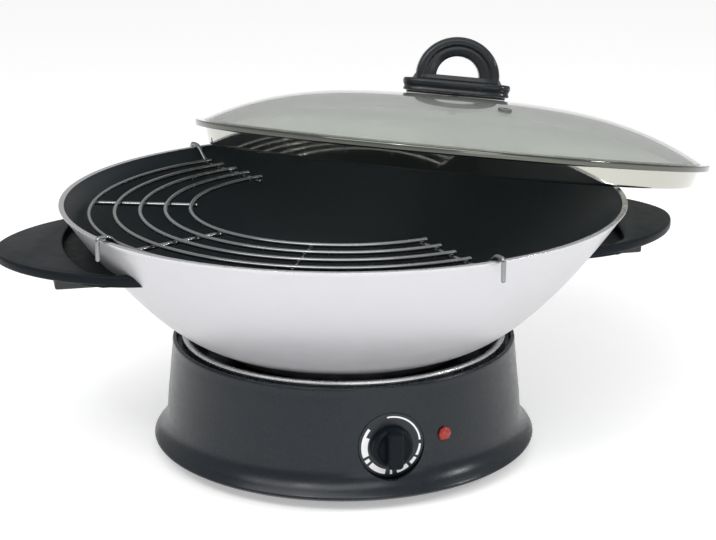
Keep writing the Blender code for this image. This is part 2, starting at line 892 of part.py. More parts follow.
def knob_axis():
    """The frame of the thermostat, dial and knob: +Z is the shaft's axis, out of the casing."""
    return empty("knob_axis", out_of_case(KNOB_TURN, KNOB_HEIGHT))


def thermostat(axis):
    back = thermostat_front() - THERMOSTAT_DEPTH
    body = block(
        "thermostat_body",
        (THERMOSTAT_WIDTH, THERMOSTAT_HEIGHT, THERMOSTAT_DEPTH),
        (0, 0, (thermostat_front() + back) / 2),
        white_ceramic(),
    )
    bevelled(body, THERMOSTAT_CHAMFER, 1)
    nose = bar(
        "thermostat_nose", NOSE_RADIUS, thermostat_front() - MERGE, thermostat_front() + NOSE_LENGTH,
        SMALL_STEPS, white_ceramic(),
    )
    bore = bar(
        "thermostat_bore", SHAFT_RADIUS + RUNNING_GAP, thermostat_front() - SHAFT_INSIDE - GAP,
        thermostat_front() + NOSE_LENGTH + OVERRUN, SMALL_STEPS, white_ceramic(),
    )
    hang(axis, body, nose, bore)
    join(body, nose)
    cut(body, bore)
    for number, side in enumerate((-1, 1), 1):
        across = side * THERMOSTAT_SCREW_SPACING / 2
        head_top = panel_front() - GAP
        head_low = head_top - THERMOSTAT_SCREW_HEAD_HEIGHT
        tip = head_top - THERMOSTAT_SCREW_LENGTH
        outline = [
            (0, tip),
            (THERMOSTAT_SCREW_RADIUS, tip),
            (THERMOSTAT_SCREW_RADIUS, head_low),
            (THERMOSTAT_SCREW_HEAD_RADIUS, head_low),
            (THERMOSTAT_SCREW_HEAD_RADIUS, head_top),
            (0, head_top),
        ]
        screw = turned(f"thermostat_screw_{number}", outline, TINY_STEPS, zinc_steel())
        hole = bar(
            "thermostat_screw_hole", THERMOSTAT_SCREW_RADIUS + GAP, tip - GAP, thermostat_front() + OVERRUN,
            TINY_STEPS, white_ceramic(),
        )
        for piece in (screw, hole):
            piece.parent = axis
            piece.location = (across, 0, 0)
        cut(body, hole)
    return body


def thermostat_shaft(axis):
    low = thermostat_front() - SHAFT_INSIDE
    shaft = bar("thermostat_shaft", SHAFT_RADIUS, low, low + SHAFT_LENGTH, SMALL_STEPS, zinc_steel())
    return hang(axis, shaft)


def dial_plate(axis):
    low = dial_face() - DIAL_THICKNESS
    outline = [
        (DIAL_HOLE_RADIUS, low),
        (DIAL_RADIUS, low),
        (DIAL_RADIUS, dial_face()),
        (DIAL_HOLE_RADIUS, dial_face()),
    ]
    return hang(axis, turned("dial_plate", outline, MIDDLE_STEPS, charcoal_plastic()))


def knob(axis):
    """The control knob: a round skirt with one raised grip across it."""
    low = dial_face() + KNOB_FACE_GAP
    shoulder = low + KNOB_SKIRT_HEIGHT
    outline = [
        (0, low),
        (KNOB_RADIUS, low),
        (KNOB_RADIUS, shoulder - KNOB_CHAMFER),
        (KNOB_RADIUS - KNOB_CHAMFER, shoulder),
        (0, shoulder),
    ]
    skirt = turned("knob", outline, MIDDLE_STEPS, black_phenolic())
    grip_length = 2 * (KNOB_RADIUS - KNOB_CHAMFER)
    grip = block(
        "knob_grip",
        (KNOB_GRIP_WIDTH, grip_length, KNOB_GRIP_HEIGHT),
        (0, 0, low + KNOB_GRIP_HEIGHT / 2 + MERGE),
        black_phenolic(),
    )
    bevelled(grip, KNOB_GRIP_ROUND)
    shaft_end = thermostat_front() - SHAFT_INSIDE + SHAFT_LENGTH
    bore = bar(
        "knob_bore", SHAFT_RADIUS + GAP, low - OVERRUN, shaft_end + GAP, SMALL_STEPS, black_phenolic(),
    )
    hang(axis, skirt, grip, bore)
    join(skirt, grip)
    cut(skirt, bore)
    return skirt


def lamp_axis():
    return empty("lamp_axis", out_of_case(LAMP_TURN, LAMP_HEIGHT))


def pilot_lens(axis):
    """The red lens: a stem through the casing and an eight-sided cut head."""
    stem_low = lens_face() - LENS_STEM_LENGTH
    outline = [
        (0, stem_low),
        (LENS_STEM_RADIUS, stem_low),
        (LENS_STEM_RADIUS, lens_face()),
        (LENS_RADIUS, lens_face()),
        (LENS_RADIUS, lens_face() + LENS_RISE / 3),
        (LENS_RADIUS * 2 / 3, lens_face() + LENS_RISE * 5 / 6),
        (LENS_RADIUS / 3, lens_face() + LENS_RISE),
        (0, lens_face() + LENS_RISE),
    ]
    return hang(axis, turned("pilot_lens", outline, TINY_STEPS, red_lens()))


def lamp_holder(axis):
    """The cup that clips on the lens's stem behind the wall and holds the small neon lamp."""
    mouth = case_inner_at(LAMP_HEIGHT) - GAP
    low = mouth - HOLDER_LENGTH
    bore = LENS_STEM_RADIUS + GAP
    outer = bore + HOLDER_WALL
    outline = [
        (0, low),
        (outer, low),
        (outer, mouth - HOLDER_WALL),
        (bore, mouth - HOLDER_WALL),
        (bore, low + HOLDER_FLOOR),
        (0, low + HOLDER_FLOOR),
    ]
    return hang(axis, turned("lamp_holder", outline, SMALL_STEPS, white_ceramic()))


def cord_gland():
    """The bush at the back where the supply cord goes in."""
    axis = empty("gland_axis", out_of_case(HALF_TURN, GLAND_HEIGHT))
    neck_end = gland_face() - GLAND_NECK_LENGTH
    outer = gland_face() + GLAND_FLANGE_THICKNESS
    outline = [
        (GLAND_BORE_RADIUS, neck_end),
        (GLAND_NECK_RADIUS, neck_end),
        (GLAND_NECK_RADIUS, gland_face()),
        (GLAND_FLANGE_RADIUS, gland_face()),
        (GLAND_FLANGE_RADIUS, gland_face() + GLAND_FLANGE_THICKNESS / 2),
        (GLAND_FLANGE_RADIUS * 4 / 5, outer),
        (GLAND_BORE_RADIUS, outer),
    ]
    return hang(axis, turned("cord_gland", outline, SMALL_STEPS, black_rubber()))


def terminal_block():
    low = cover_top() + GAP
    body = block(
        "terminal_block",
        (BLOCK_WIDTH, BLOCK_DEPTH, BLOCK_HEIGHT),
        (0, BLOCK_CENTRE, low + BLOCK_HEIGHT / 2),
        white_ceramic(),
    )
    return body


def thermal_fuse():
    height = dish_underside() - GAP - FUSE_RADIUS
    fuse = bar("thermal_fuse", FUSE_RADIUS, -FUSE_LENGTH / 2, FUSE_LENGTH / 2, TINY_STEPS, bare_aluminium())
    fuse.matrix_world = (
        Matrix.Translation(polar(FUSE_CENTRE, FUSE_ANGLE, height))
        @ Matrix.Rotation(FUSE_ANGLE, 4, "Z")
        @ Matrix.Rotation(QUARTER_TURN, 4, "X")
    )
    return fuse


def behind_thermostat(across, up):
    """A point just behind the thermostat's back face, across and up from its axis."""
    back = thermostat_front() - THERMOSTAT_DEPTH - LEAD_END_GAP
    return out_of_case(KNOB_TURN, KNOB_HEIGHT) @ Vector((across, up, back))


def inner_leads():
    """The capillary from the sensor and the leads between block, thermostat, fuse and element."""
    quarter = THERMOSTAT_WIDTH / 4
    inwards = out_of_case(KNOB_TURN, 0).to_3x3() @ Vector((0, 0, -BLOCK_CENTRE / 3))
    sensor_end = Vector((0, 0, SENSOR_STEM_BOTTOM - LEAD_END_GAP))
    drop = Vector((0, 0, -CAPILLARY_DROP))
    capillary_end = behind_thermostat(0, quarter)
    swept(
        "capillary_tube",
        smooth_path(sensor_end, sensor_end + drop * 2, capillary_end + inwards, capillary_end, CAPILLARY_POINTS),
        CAPILLARY_RADIUS,
        WIRE_SIDES,
        bare_aluminium(),
    )
    block_face = BLOCK_CENTRE - BLOCK_DEPTH / 2 - LEAD_END_GAP
    block_height = cover_top() + GAP + BLOCK_HEIGHT / 2
    pin_low = element_height() - ELEMENT_PIN_LENGTH - LEAD_END_GAP
    end_angle = ELEMENT_START + ELEMENT_SWEEP
    below = Vector((0, 0, -BLOCK_HEIGHT))
    inward_pull = Vector((0, -BLOCK_CENTRE / 2, 0))
    supply = Vector((-BLOCK_WIDTH / 4, block_face, block_height))
    supply_end = behind_thermostat(-quarter, -quarter)
    swept(
        "supply_lead",
        smooth_path(supply, supply + inward_pull, supply_end + inwards, supply_end, LEAD_POINTS),
        LEAD_RADIUS,
        WIRE_SIDES,
        wire_insulation(),
    )
    neutral = Vector((BLOCK_WIDTH / 4, block_face, block_height))
    neutral_end = polar(ELEMENT_RING_RADIUS, end_angle, pin_low)
    swept(
        "neutral_lead",
        smooth_path(neutral, neutral + inward_pull / 2, neutral_end + below, neutral_end, LEAD_POINTS),
        LEAD_RADIUS,
        WIRE_SIDES,
        wire_insulation(),
    )
    fuse_height = dish_underside() - GAP - FUSE_RADIUS
    along = Vector((math.sin(FUSE_ANGLE), -math.cos(FUSE_ANGLE), 0))
    fuse_middle = polar(FUSE_CENTRE, FUSE_ANGLE, fuse_height)
    fuse_back = fuse_middle + along * (FUSE_LENGTH / 2 + LEAD_END_GAP)
    fuse_front = fuse_middle - along * (FUSE_LENGTH / 2 + LEAD_END_GAP)
    pin_end = polar(ELEMENT_RING_RADIUS, ELEMENT_START, pin_low)
    swept(
        "element_lead",
        smooth_path(fuse_back, fuse_back + along * FUSE_LENGTH, pin_end + below, pin_end, LEAD_POINTS),
        LEAD_RADIUS,
        WIRE_SIDES,
        wire_insulation(),
    )
    switched = behind_thermostat(-quarter, quarter)
    swept(
        "switched_lead",
        smooth_path(switched, switched + inwards, fuse_front - along * FUSE_LENGTH, fuse_front, LEAD_POINTS),
        LEAD_RADIUS,
        WIRE_SIDES,
        wire_insulation(),
    )


def build_base():
    base_case()
    bottom_cover()
    cover_screws()
    rubber_feet()
    heat_dish()
    trim_ring()
    hotplate()
    hotplate_posts()
    heating_element()
    element_clips()
    heat_sensor()
    axis = knob_axis()
    thermostat(axis)
    dial_plate(axis)
    thermostat_shaft(axis)
    knob(axis)
    lamp = lamp_axis()
    pilot_lens(lamp)
    lamp_holder(lamp)
    cord_gland()
    terminal_block()
    thermal_fuse()
    inner_leads()


def pan_curve(bottom_radius, top_radius, low, high, share):
    """A point of the bowl's section at a share of the way from its flat bottom to its rim."""
    return (
        bottom_radius + (top_radius - bottom_radius) * share,
        low + (high - low) * share**PAN_CURVE_POWER,
    )


def pan_outside(share, clearance=0.0):
    return pan_curve(PAN_BOTTOM_RADIUS + clearance, RIM_RADIUS + clearance, PAN_BOTTOM, RIM_HEIGHT, share)


def pan_radius_at(height):
    """The bowl's outer radius at a height."""
    share = ((height - PAN_BOTTOM) / (RIM_HEIGHT - PAN_BOTTOM)) ** (1 / PAN_CURVE_POWER)
    return PAN_BOTTOM_RADIUS + (RIM_RADIUS - PAN_BOTTOM_RADIUS) * share


def wok_pan():
    """The bowl: one wall of even thickness, with a recess under its floor for the base disc."""
    shares = [step / PAN_CURVE_STEPS for step in range(PAN_CURVE_STEPS)]
    outside = [pan_outside(share) for share in shares]
    inner_low = PAN_BOTTOM + PAN_FLOOR_THICKNESS
    inner_bottom = PAN_BOTTOM_RADIUS - PAN_WALL
    inner_top = RIM_RADIUS - PAN_WALL
    inside = [pan_curve(inner_bottom, inner_top, inner_low, RIM_HEIGHT, share) for share in shares]
    recess = PAN_BOTTOM - BASE_DISC_PROUD + BASE_DISC_THICKNESS + GAP
    recess_radius = BASE_DISC_RADIUS + GAP
    rim = [
        (RIM_RADIUS, RIM_HEIGHT - PAN_RIM_ROUND),
        (RIM_RADIUS - PAN_RIM_ROUND, RIM_HEIGHT),
        (inner_top, RIM_HEIGHT),
    ]
    outline = [(0, recess), (recess_radius, recess), (recess_radius, PAN_BOTTOM)]
    outline += outside + rim + inside[::-1] + [(0, inner_low)]
    return turned("wok_pan", outline, LARGE_STEPS, satin_silver())


def pan_base_disc():
    low = PAN_BOTTOM - BASE_DISC_PROUD
    return bar("pan_base_disc", BASE_DISC_RADIUS, low, low + BASE_DISC_THICKNESS, MIDDLE_STEPS, bare_aluminium())


def wall_cutter(name, clearance, finish):
    """The bowl's outside with a clearance, to trim what seats against it."""
    shares = [step / PAN_CURVE_STEPS for step in range(PAN_CURVE_STEPS + 1)]
    outline = [(0, PAN_BOTTOM)] + [pan_outside(share, clearance) for share in shares] + [(0, RIM_HEIGHT)]
    return turned(name, outline, LARGE_STEPS, finish)


def full_curve(turn, half_length, half_width, fullness):
    """A point of an oval: plain at a fullness of 2, squarer above it and more pointed below it."""
    along, across = math.cos(turn), math.sin(turn)
    return (
        math.copysign(abs(along) ** (2 / fullness), along) * half_length,
        math.copysign(abs(across) ** (2 / fullness), across) * half_width,
    )


def handle_top():
    return RIM_HEIGHT - HANDLE_DROP


def grip_edge(inset=0.0):
    """The grip's outer edge, from one root round to the other."""
    points = []
    centre = RIM_RADIUS - HANDLE_CENTRE_INSET
    reach = RIM_RADIUS + HANDLE_OVERHANG - centre - inset
    for step in range(HANDLE_OUTLINE_STEPS + 1):
        turn = HALF_TURN * step / HANDLE_OUTLINE_STEPS - QUARTER_TURN
        x, y = full_curve(turn, reach, HANDLE_HALF_WIDTH - inset, HANDLE_FULLNESS)
        points.append((centre + x, y))
    return points


def finger_gap(lap=0.0, root_gap=0.0):
    """The outline of the finger gap; a plate under it laps under the grip and stops short of its roots."""
    inner = BASE_DISC_RADIUS
    across = HANDLE_HALF_WIDTH - HANDLE_ROOT_WIDTH - root_gap
    end = RIM_RADIUS - FINGER_GAP_END_INSET + lap
    steps = HANDLE_OUTLINE_STEPS // 2
    turns = [FINGER_GAP_HALF_ANGLE * (2 * step / steps - 1) for step in range(steps + 1)]
    outline = [tuple(polar(RIM_RADIUS - GRIP_INNER_INSET + lap, turn).xy) for turn in turns]
    return outline + [(end, across), (inner, across), (inner, -across), (end, -across)]


def handle_screw_centre():
    return RIM_RADIUS + HANDLE_SCREW_OVERHANG


def handle_screw_hole(name, low, high, side, finish):
    hole = bar(name, HANDLE_SCREW_RADIUS + GAP, low, high, TINY_STEPS, finish)
    hole.location = (handle_screw_centre(), side * HANDLE_SCREW_SPACING / 2, 0)
    return hole


def handle_grip(name):
    """The D-shaped grip at +X: a flat plate, trimmed to the bowl, with a finger gap along the wall."""
    low = handle_top() - HANDLE_THICKNESS
    inner = BASE_DISC_RADIUS
    outline = grip_edge() + [(inner, HANDLE_HALF_WIDTH), (inner, -HANDLE_HALF_WIDTH)]
    grip = bevelled(extruded(name, outline, low, handle_top(), black_phenolic()), HANDLE_ROUND)
    root_edge = HANDLE_HALF_WIDTH - HANDLE_ROOT_WIDTH
    for side in (-1, 1):
        edge = [(x, y) for x, y in grip_edge(HANDLE_ROOT_INSET) if y * side > root_edge]
        edge.sort(reverse=True)
        end = (edge[0][0], side * root_edge)
        pad = edge + [(inner, edge[-1][1]), (inner, side * root_edge), end]
        root = extruded(
            name + "_root", pad, low - HANDLE_ROOT_DROP, handle_top() - HANDLE_THICKNESS / 2, black_phenolic()
        )
        join(grip, root)
    gap = extruded(name + "_gap", finger_gap(), PAN_BOTTOM, handle_top() + OVERRUN, black_phenolic())
    cut(grip, gap, wall_cutter(name + "_wall", GAP, black_phenolic()))
    hole_top = low + HANDLE_SCREW_GRIP + GAP
    for side in (-1, 1):
        cut(grip, handle_screw_hole(name + "_hole", low - OVERRUN, hole_top, side, black_phenolic()))
    return grip


def bracket_reach():
    return RIM_RADIUS + BRACKET_OVERHANG


def bracket_bottom():
    return handle_top() - HANDLE_THICKNESS - GAP - BRACKET_THICKNESS


def handle_bracket(name):
    """The steel bracket at +X: a leg welded down the bowl and a plate out under the grip and its gap."""
    top = bracket_bottom() + BRACKET_THICKNESS
    low = top - BRACKET_TAB_HEIGHT
    inner_top = pan_radius_at(top) + GAP
    inner_low = pan_radius_at(low) + GAP
    outline = [
        (inner_top, top),
        (inner_low, low),
        (inner_low + BRACKET_THICKNESS, low),
        (inner_top + BRACKET_THICKNESS, bracket_bottom()),
        (bracket_reach(), bracket_bottom()),
        (bracket_reach(), top),
    ]
    strap = extruded(name, outline, -BRACKET_WIDTH / 2, BRACKET_WIDTH / 2, black_enamel())
    strap.rotation_euler = (QUARTER_TURN, 0, 0)
    join(strap, extruded(name + "_plate", finger_gap(BRACKET_LAP, GAP), bracket_bottom(), top, black_enamel()))
    holes = [handle_screw_hole(name + "_hole", low, handle_top(), side, black_enamel()) for side in (-1, 1)]
    return cut(strap, wall_cutter(name + "_wall", GAP, black_enamel()), *holes)


def socket_top():
    return bracket_bottom() - GAP


def handle_socket(name):
    """The wide moulding under the bracket and the finger gap, shaped to the bowl's wall."""
    low = socket_top() - SOCKET_HEIGHT
    inner = BASE_DISC_RADIUS
    outer = RIM_RADIUS + SOCKET_OVERHANG
    size = (outer - inner, SOCKET_WIDTH, SOCKET_HEIGHT)
    centre = ((outer + inner) / 2, 0, low + SOCKET_HEIGHT / 2)
    finish = grey_plastic()
    body = bevelled(block(name, size, centre, finish), SOCKET_ROUND)
    clearance = 2 * (BRACKET_THICKNESS + GAP)
    holes = [handle_screw_hole(name + "_hole", low - OVERRUN, handle_top(), side, finish) for side in (-1, 1)]
    return cut(body, wall_cutter(name + "_wall", clearance, finish), *holes)


def handle_screw(name):
    head_top = socket_top() - SOCKET_HEIGHT - GAP
    head_low = head_top - HANDLE_SCREW_HEAD_HEIGHT
    tip = handle_top() - HANDLE_THICKNESS + HANDLE_SCREW_GRIP
    outline = [
        (0, head_low),
        (HANDLE_SCREW_HEAD_RADIUS, head_low),
        (HANDLE_SCREW_HEAD_RADIUS, head_top),
        (HANDLE_SCREW_RADIUS, head_top),
        (HANDLE_SCREW_RADIUS, tip),
        (0, tip),
    ]
    return turned(name, outline, TINY_STEPS, zinc_steel())


def placed_handle(name, turn):
    """One handle with its bracket, socket and screws, turned to its side of the bowl."""
    side = empty(name + "_side", Matrix.Rotation(turn, 4, "Z"))
    pieces = [
        handle_grip("handle_grip_" + name),
        handle_bracket("handle_bracket_" + name),
        handle_socket("handle_socket_" + name),
    ]
    for piece in pieces:
        piece.parent = side
        for modifier in piece.modifiers:
            if modifier.type == "BOOLEAN":
                modifier.object.parent = side
    for number, offset in enumerate((-1, 1), 1):
        screw = handle_screw(f"handle_screw_{name}_{number}")
        screw.parent = side
        screw.location = (handle_screw_centre(), offset * HANDLE_SCREW_SPACING / 2, 0)


def build_pan():
    wok_pan()
    pan_base_disc()
    placed_handle("right", 0)
    placed_handle("left", HALF_TURN)


def rack_radii():
    outer = RIM_RADIUS - RACK_OUTER_INSET
    return [outer - RACK_SPACING * number for number in reversed(range(RACK_ARCS))]


def rack_height():
    return RIM_HEIGHT - RACK_DROP


def cross_height():
    return rack_height() - 2 * WIRE_RADIUS + CROSS_SINK


def hook_path():
    """The line of a hooked cross wire, out along X: up the bowl's wall, over the rim and down outside."""
    height = cross_height()
    over = RIM_HEIGHT + GAP + WIRE_RADIUS
    rise_end = RIM_RADIUS - PAN_WALL - HOOK_BEND / 2
    rise_start = rack_radii()[-1] + WIRE_RADIUS
    outside = RIM_RADIUS + GAP + WIRE_RADIUS + HOOK_BEND / 4
    return [
        (rack_radii()[0] - RACK_OVERHANG, 0, height),
        (rise_start, 0, height),
        (rise_end, 0, over),
        (outside - HOOK_BEND / 4, 0, over),
        (outside, 0, over - HOOK_BEND / 4),
        (outside, 0, over - HOOK_DROP),
    ]


def straight_path():
    height = cross_height()
    inner, *_, outer = rack_radii()
    return [(inner - RACK_OVERHANG, 0, height), (outer + RACK_OVERHANG, 0, height)]


def draining_rack():
    """Five part rings on five cross wires, welded into one piece; three cross wires hook on the rim."""
    rack = None
    for number, radius in enumerate(rack_radii(), 1):
        extra = RACK_OVERHANG / radius
        first, last = CROSS_ANGLES[0] - extra, CROSS_ANGLES[-1] + extra
        steps = max(TINY_STEPS, round(radius * (last - first) / RACK_ARC_PITCH))
        turns = [first + (last - first) * step / steps for step in range(steps + 1)]
        path = [polar(radius, turn, rack_height()) for turn in turns]
        arc = swept(f"rack_arc_{number}", path, WIRE_RADIUS, WIRE_SIDES, polished_steel())
        if rack is None:
            rack = arc
            rack.name = "draining_rack"
        else:
            join(rack, arc)
    for angle, hooked in zip(CROSS_ANGLES, CROSS_HOOKED):
        path = hook_path() if hooked else straight_path()
        cross = swept("rack_cross", path, WIRE_RADIUS, WIRE_SIDES, polished_steel())
        cross.rotation_euler = (0, 0, angle)
        join(rack, cross)
    return rack


def lid_radius():
    return RIM_RADIUS + LID_OVERHANG


def skirt_radius():
    return RIM_RADIUS - LID_SKIRT_INSET


def glass_radius():
    return lid_radius() - GLASS_INSET


def glass_top(radius):
    """The height of the glass's outer face over the lid's flange."""
    edge = GLASS_SEAT + GAP + GLASS_THICKNESS
    return edge + GLASS_RISE * (1 - (radius / glass_radius()) ** GLASS_CURVE_POWER)


def lid_seat():
    """The lid's frame: its skirt stands on the rim at two points, and it leans along its heading."""
    contact = RIM_RADIUS
    chord = contact * math.sin(LID_REST_HALF_ANGLE)
    chord_distance = contact * math.cos(LID_REST_HALF_ANGLE)
    skirt_distance = math.sqrt(skirt_radius()**2 - chord**2)
    heading = Matrix.Rotation(LID_HEADING, 4, "Z")
    lean = Matrix.Rotation(LID_LEAN, 4, "Y")
    stand = Matrix.Translation((chord_distance, 0, RIM_HEIGHT + LID_REST_GAP))
    centre = Matrix.Translation((skirt_distance, 0, LID_SKIRT_DEPTH))
    spin = Matrix.Rotation(LID_SPIN - LID_HEADING, 4, "Z")
    return empty("lid_seat", heading @ stand @ lean @ centre @ spin)


def lid_rim(seat):
    """The steel rim: a flange that holds the glass's edge and a skirt that drops inside the pan."""
    inner = skirt_radius() - LID_SKIRT_WALL
    seat_radius = glass_radius() + GAP
    turn_in = LID_SKIRT_TURN_IN
    outline = [
        (inner, GLASS_SEAT),
        (seat_radius, GLASS_SEAT),
        (seat_radius, LID_FLANGE_THICKNESS),
        (lid_radius() - LID_FLANGE_ROUND, LID_FLANGE_THICKNESS),
        (lid_radius(), LID_FLANGE_THICKNESS - LID_FLANGE_ROUND),
        (lid_radius(), LID_FLANGE_ROUND),
        (lid_radius() - LID_FLANGE_ROUND, 0),
        (skirt_radius(), 0),
        (skirt_radius(), turn_in - LID_SKIRT_DEPTH),
        (skirt_radius() - turn_in / 3, -LID_SKIRT_DEPTH),
        (inner - turn_in, -LID_SKIRT_DEPTH),
        (inner - turn_in, LID_SKIRT_WALL - LID_SKIRT_DEPTH),
        (inner, turn_in - LID_SKIRT_DEPTH),
    ]
    return hang(seat, turned("lid_rim", outline, LARGE_STEPS, polished_steel()))


def lid_glass(seat):
    """The toughened glass dome, with a hole for the knob's screw and one for the steam vent."""
    radii = [GLASS_HOLE_RADIUS + (glass_radius() - GLASS_HOLE_RADIUS) * share for share in GLASS_CURVE_SHARES]
    outside = [(radius, glass_top(radius)) for radius in radii]
    inside = [(radius, height - GLASS_THICKNESS) for radius, height in outside]
    glass = turned("lid_glass", outside + inside[::-1], LARGE_STEPS, clear_glass())
    vent_hole = bar(
        "vent_hole", VENT_NECK_RADIUS + GAP, -GLASS_THICKNESS - OVERRUN, OVERRUN, TINY_STEPS, clear_glass()
    )
    hang(seat, glass, vent_hole)
    vent_hole.matrix_local = vent_place()
    return cut(glass, vent_hole)


def vent_place():
    """The steam vent's frame on the glass's outer face, +Z square to it."""
    radius = math.hypot(VENT_OFFSET_X, VENT_OFFSET_Y)
    angle = math.atan2(VENT_OFFSET_Y, VENT_OFFSET_X)
    out = radius / glass_radius()
    slope = GLASS_RISE * GLASS_CURVE_POWER / glass_radius() * out ** (GLASS_CURVE_POWER - 1)
    tilt = Matrix.Rotation(angle, 4, "Z") @ Matrix.Rotation(math.atan(slope), 4, "Y")
    return Matrix.Translation((VENT_OFFSET_X, VENT_OFFSET_Y, glass_top(radius))) @ tilt


def steam_vent(seat):
    axis = empty("vent_axis", vent_place(), seat)
    top = GAP + VENT_FLANGE
    under = -GLASS_THICKNESS - GAP
    low = under - VENT_FLANGE
    outline = [
        (VENT_BORE_RADIUS, low),
        (VENT_RADIUS, low),
        (VENT_RADIUS, under),
        (VENT_NECK_RADIUS, under),
        (VENT_NECK_RADIUS, GAP),
        (VENT_RADIUS, GAP),
        (VENT_RADIUS, top),
        (VENT_BORE_RADIUS, top),
    ]
    return hang(axis, turned("steam_vent", outline, SMALL_STEPS, polished_steel()))


def gasket_low():
    return glass_top(GLASS_HOLE_RADIUS) + GAP


def knob_plate_low():
    return gasket_low() + GASKET_THICKNESS + GAP


def oval(length, width):
    """A long oval of points about the lid's axis, fuller than an ellipse."""
    turns = [FULL_TURN * step / MIDDLE_STEPS for step in range(MIDDLE_STEPS)]
    return [full_curve(turn, length / 2, width / 2, KNOB_PLATE_FULLNESS) for turn in turns]


def lid_knob(seat):
    """The lid's handle: an oval plate, a smaller oval step and an arch over it."""
    low = knob_plate_low()
    step_low = low + KNOB_PLATE_THICKNESS
    top = step_low + KNOB_TIER_HEIGHT
    plate = extruded("lid_knob", oval(KNOB_PLATE_LENGTH, KNOB_PLATE_WIDTH), low, step_low, black_phenolic())
    bevelled(plate, KNOB_PLATE_ROUND)
    tier_outline = oval(KNOB_TIER_LENGTH, KNOB_TIER_WIDTH)
    tier = extruded("knob_tier", tier_outline, step_low - KNOB_PLATE_ROUND, top, black_phenolic())
    half_turns = [HALF_TURN * step / ARCH_STEPS for step in range(ARCH_STEPS + 1)]
    outer = [(ARCH_LENGTH / 2 * math.cos(t), top - MERGE + ARCH_HEIGHT * math.sin(t)) for t in half_turns]
    foot = step_low - KNOB_PLATE_THICKNESS / 2
    arch_outline = outer + [(-ARCH_LENGTH / 2, foot), (ARCH_LENGTH / 2, foot)]
    arch = extruded("knob_arch", arch_outline, -ARCH_WIDTH / 2, ARCH_WIDTH / 2, black_phenolic())
    bevelled(arch, ARCH_ROUND)
    half_opening = ARCH_OPENING_LENGTH / 2
    inner_shape = [(half_opening * math.cos(t), top + MERGE + ARCH_OPENING_HEIGHT * math.sin(t)) for t in half_turns]
    cut_side = ARCH_WIDTH / 2 + OVERRUN
    opening = extruded("arch_opening", inner_shape, -cut_side, cut_side, black_phenolic())
    screw_hole = bar(
        "knob_screw_hole", LID_SCREW_RADIUS + GAP, low - OVERRUN, low + LID_SCREW_GRIP + GAP, TINY_STEPS,
        black_phenolic(),
    )
    hang(seat, plate, tier, arch, opening, screw_hole)
    arch.rotation_euler = (QUARTER_TURN, 0, 0)
    opening.rotation_euler = (QUARTER_TURN, 0, 0)
    join(plate, tier, arch)
    cut(plate, opening, screw_hole)
    return plate


def knob_gasket(seat):
    """The soft oval pad between the knob and the glass."""
    outline = oval(KNOB_PLATE_LENGTH - 2 * GASKET_INSET, KNOB_PLATE_WIDTH - 2 * GASKET_INSET)
    low = gasket_low()
    pad = extruded("lid_knob_gasket", outline, low, low + GASKET_THICKNESS, black_rubber())
    hole_radius = LID_SCREW_RADIUS + GAP
    hole_top = low + GASKET_THICKNESS + OVERRUN
    hole = bar("gasket_hole", hole_radius, low - OVERRUN, hole_top, TINY_STEPS, black_rubber())
    hang(seat, pad, hole)
    return cut(pad, hole)


def knob_fixings(seat):
    """The washer below the glass, and the screw that goes up through it into the knob."""
    hole = LID_SCREW_RADIUS + GAP
    washer_top = glass_top(GLASS_HOLE_RADIUS) - GLASS_THICKNESS - GAP
    washer_low = washer_top - WASHER_THICKNESS
    outline = [(hole, washer_low), (WASHER_RADIUS, washer_low), (WASHER_RADIUS, washer_top), (hole, washer_top)]
    hang(seat, turned("lid_knob_washer", outline, SMALL_STEPS, zinc_steel()))
    head_top = washer_low - GAP
    head_low = head_top - LID_SCREW_HEAD_HEIGHT
    tip = knob_plate_low() + LID_SCREW_GRIP
    outline = [
        (0, head_low),
        (LID_SCREW_HEAD_RADIUS, head_low),
        (LID_SCREW_HEAD_RADIUS, head_top),
        (LID_SCREW_RADIUS, head_top),
        (LID_SCREW_RADIUS, tip),
        (0, tip),
    ]
    hang(seat, turned("lid_knob_screw", outline, SMALL_STEPS, zinc_steel()))


def build_lid():
    seat = lid_seat()
    lid_rim(seat)
    lid_glass(seat)
    steam_vent(seat)
    lid_knob(seat)
    knob_gasket(seat)
    knob_fixings(seat)


clear_scene()
build_base()
build_pan()
draining_rack()
build_lid()
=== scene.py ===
import math

import bmesh
import bpy
from mathutils import Matrix, Vector


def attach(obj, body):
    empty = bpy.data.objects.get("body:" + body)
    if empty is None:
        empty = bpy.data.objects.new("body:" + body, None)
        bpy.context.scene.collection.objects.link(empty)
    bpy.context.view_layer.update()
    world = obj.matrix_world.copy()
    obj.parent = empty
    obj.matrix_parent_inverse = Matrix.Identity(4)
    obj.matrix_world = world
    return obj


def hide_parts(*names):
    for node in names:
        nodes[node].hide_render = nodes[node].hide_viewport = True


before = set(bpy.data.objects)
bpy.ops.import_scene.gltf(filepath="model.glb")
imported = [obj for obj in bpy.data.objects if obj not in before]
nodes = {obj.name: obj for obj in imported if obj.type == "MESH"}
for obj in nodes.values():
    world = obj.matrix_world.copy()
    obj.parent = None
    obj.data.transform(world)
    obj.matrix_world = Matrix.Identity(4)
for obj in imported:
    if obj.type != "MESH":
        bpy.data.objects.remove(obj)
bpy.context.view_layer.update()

FULL = 2 * math.pi
HALF = math.pi
QUARTER = math.pi / 2
GAP = 0.0003
OVERRUN = 0.004
ON_AXIS = 0.00003
MERGE = 0.000002

# Steps of round pieces
LID_STEPS = 256
TURN_STEPS = 192
PLAIN_STEPS = 96
SMALL_STEPS = 40
WIRE_SIDES = 12
CORNER_STEPS = 5
SHARP_ANGLE = math.radians(42)

# Base
COVER_UNDERSIDE = 0.0038
CASE_BOTTOM = 0.0046
CASE_TOP = 0.0742
CASE_TOP_RADIUS = 0.1115
CASE_FLARE_RADIUS = 0.1247
CASE_WALL = 0.0026
CASE_SHOULDER = 0.0050
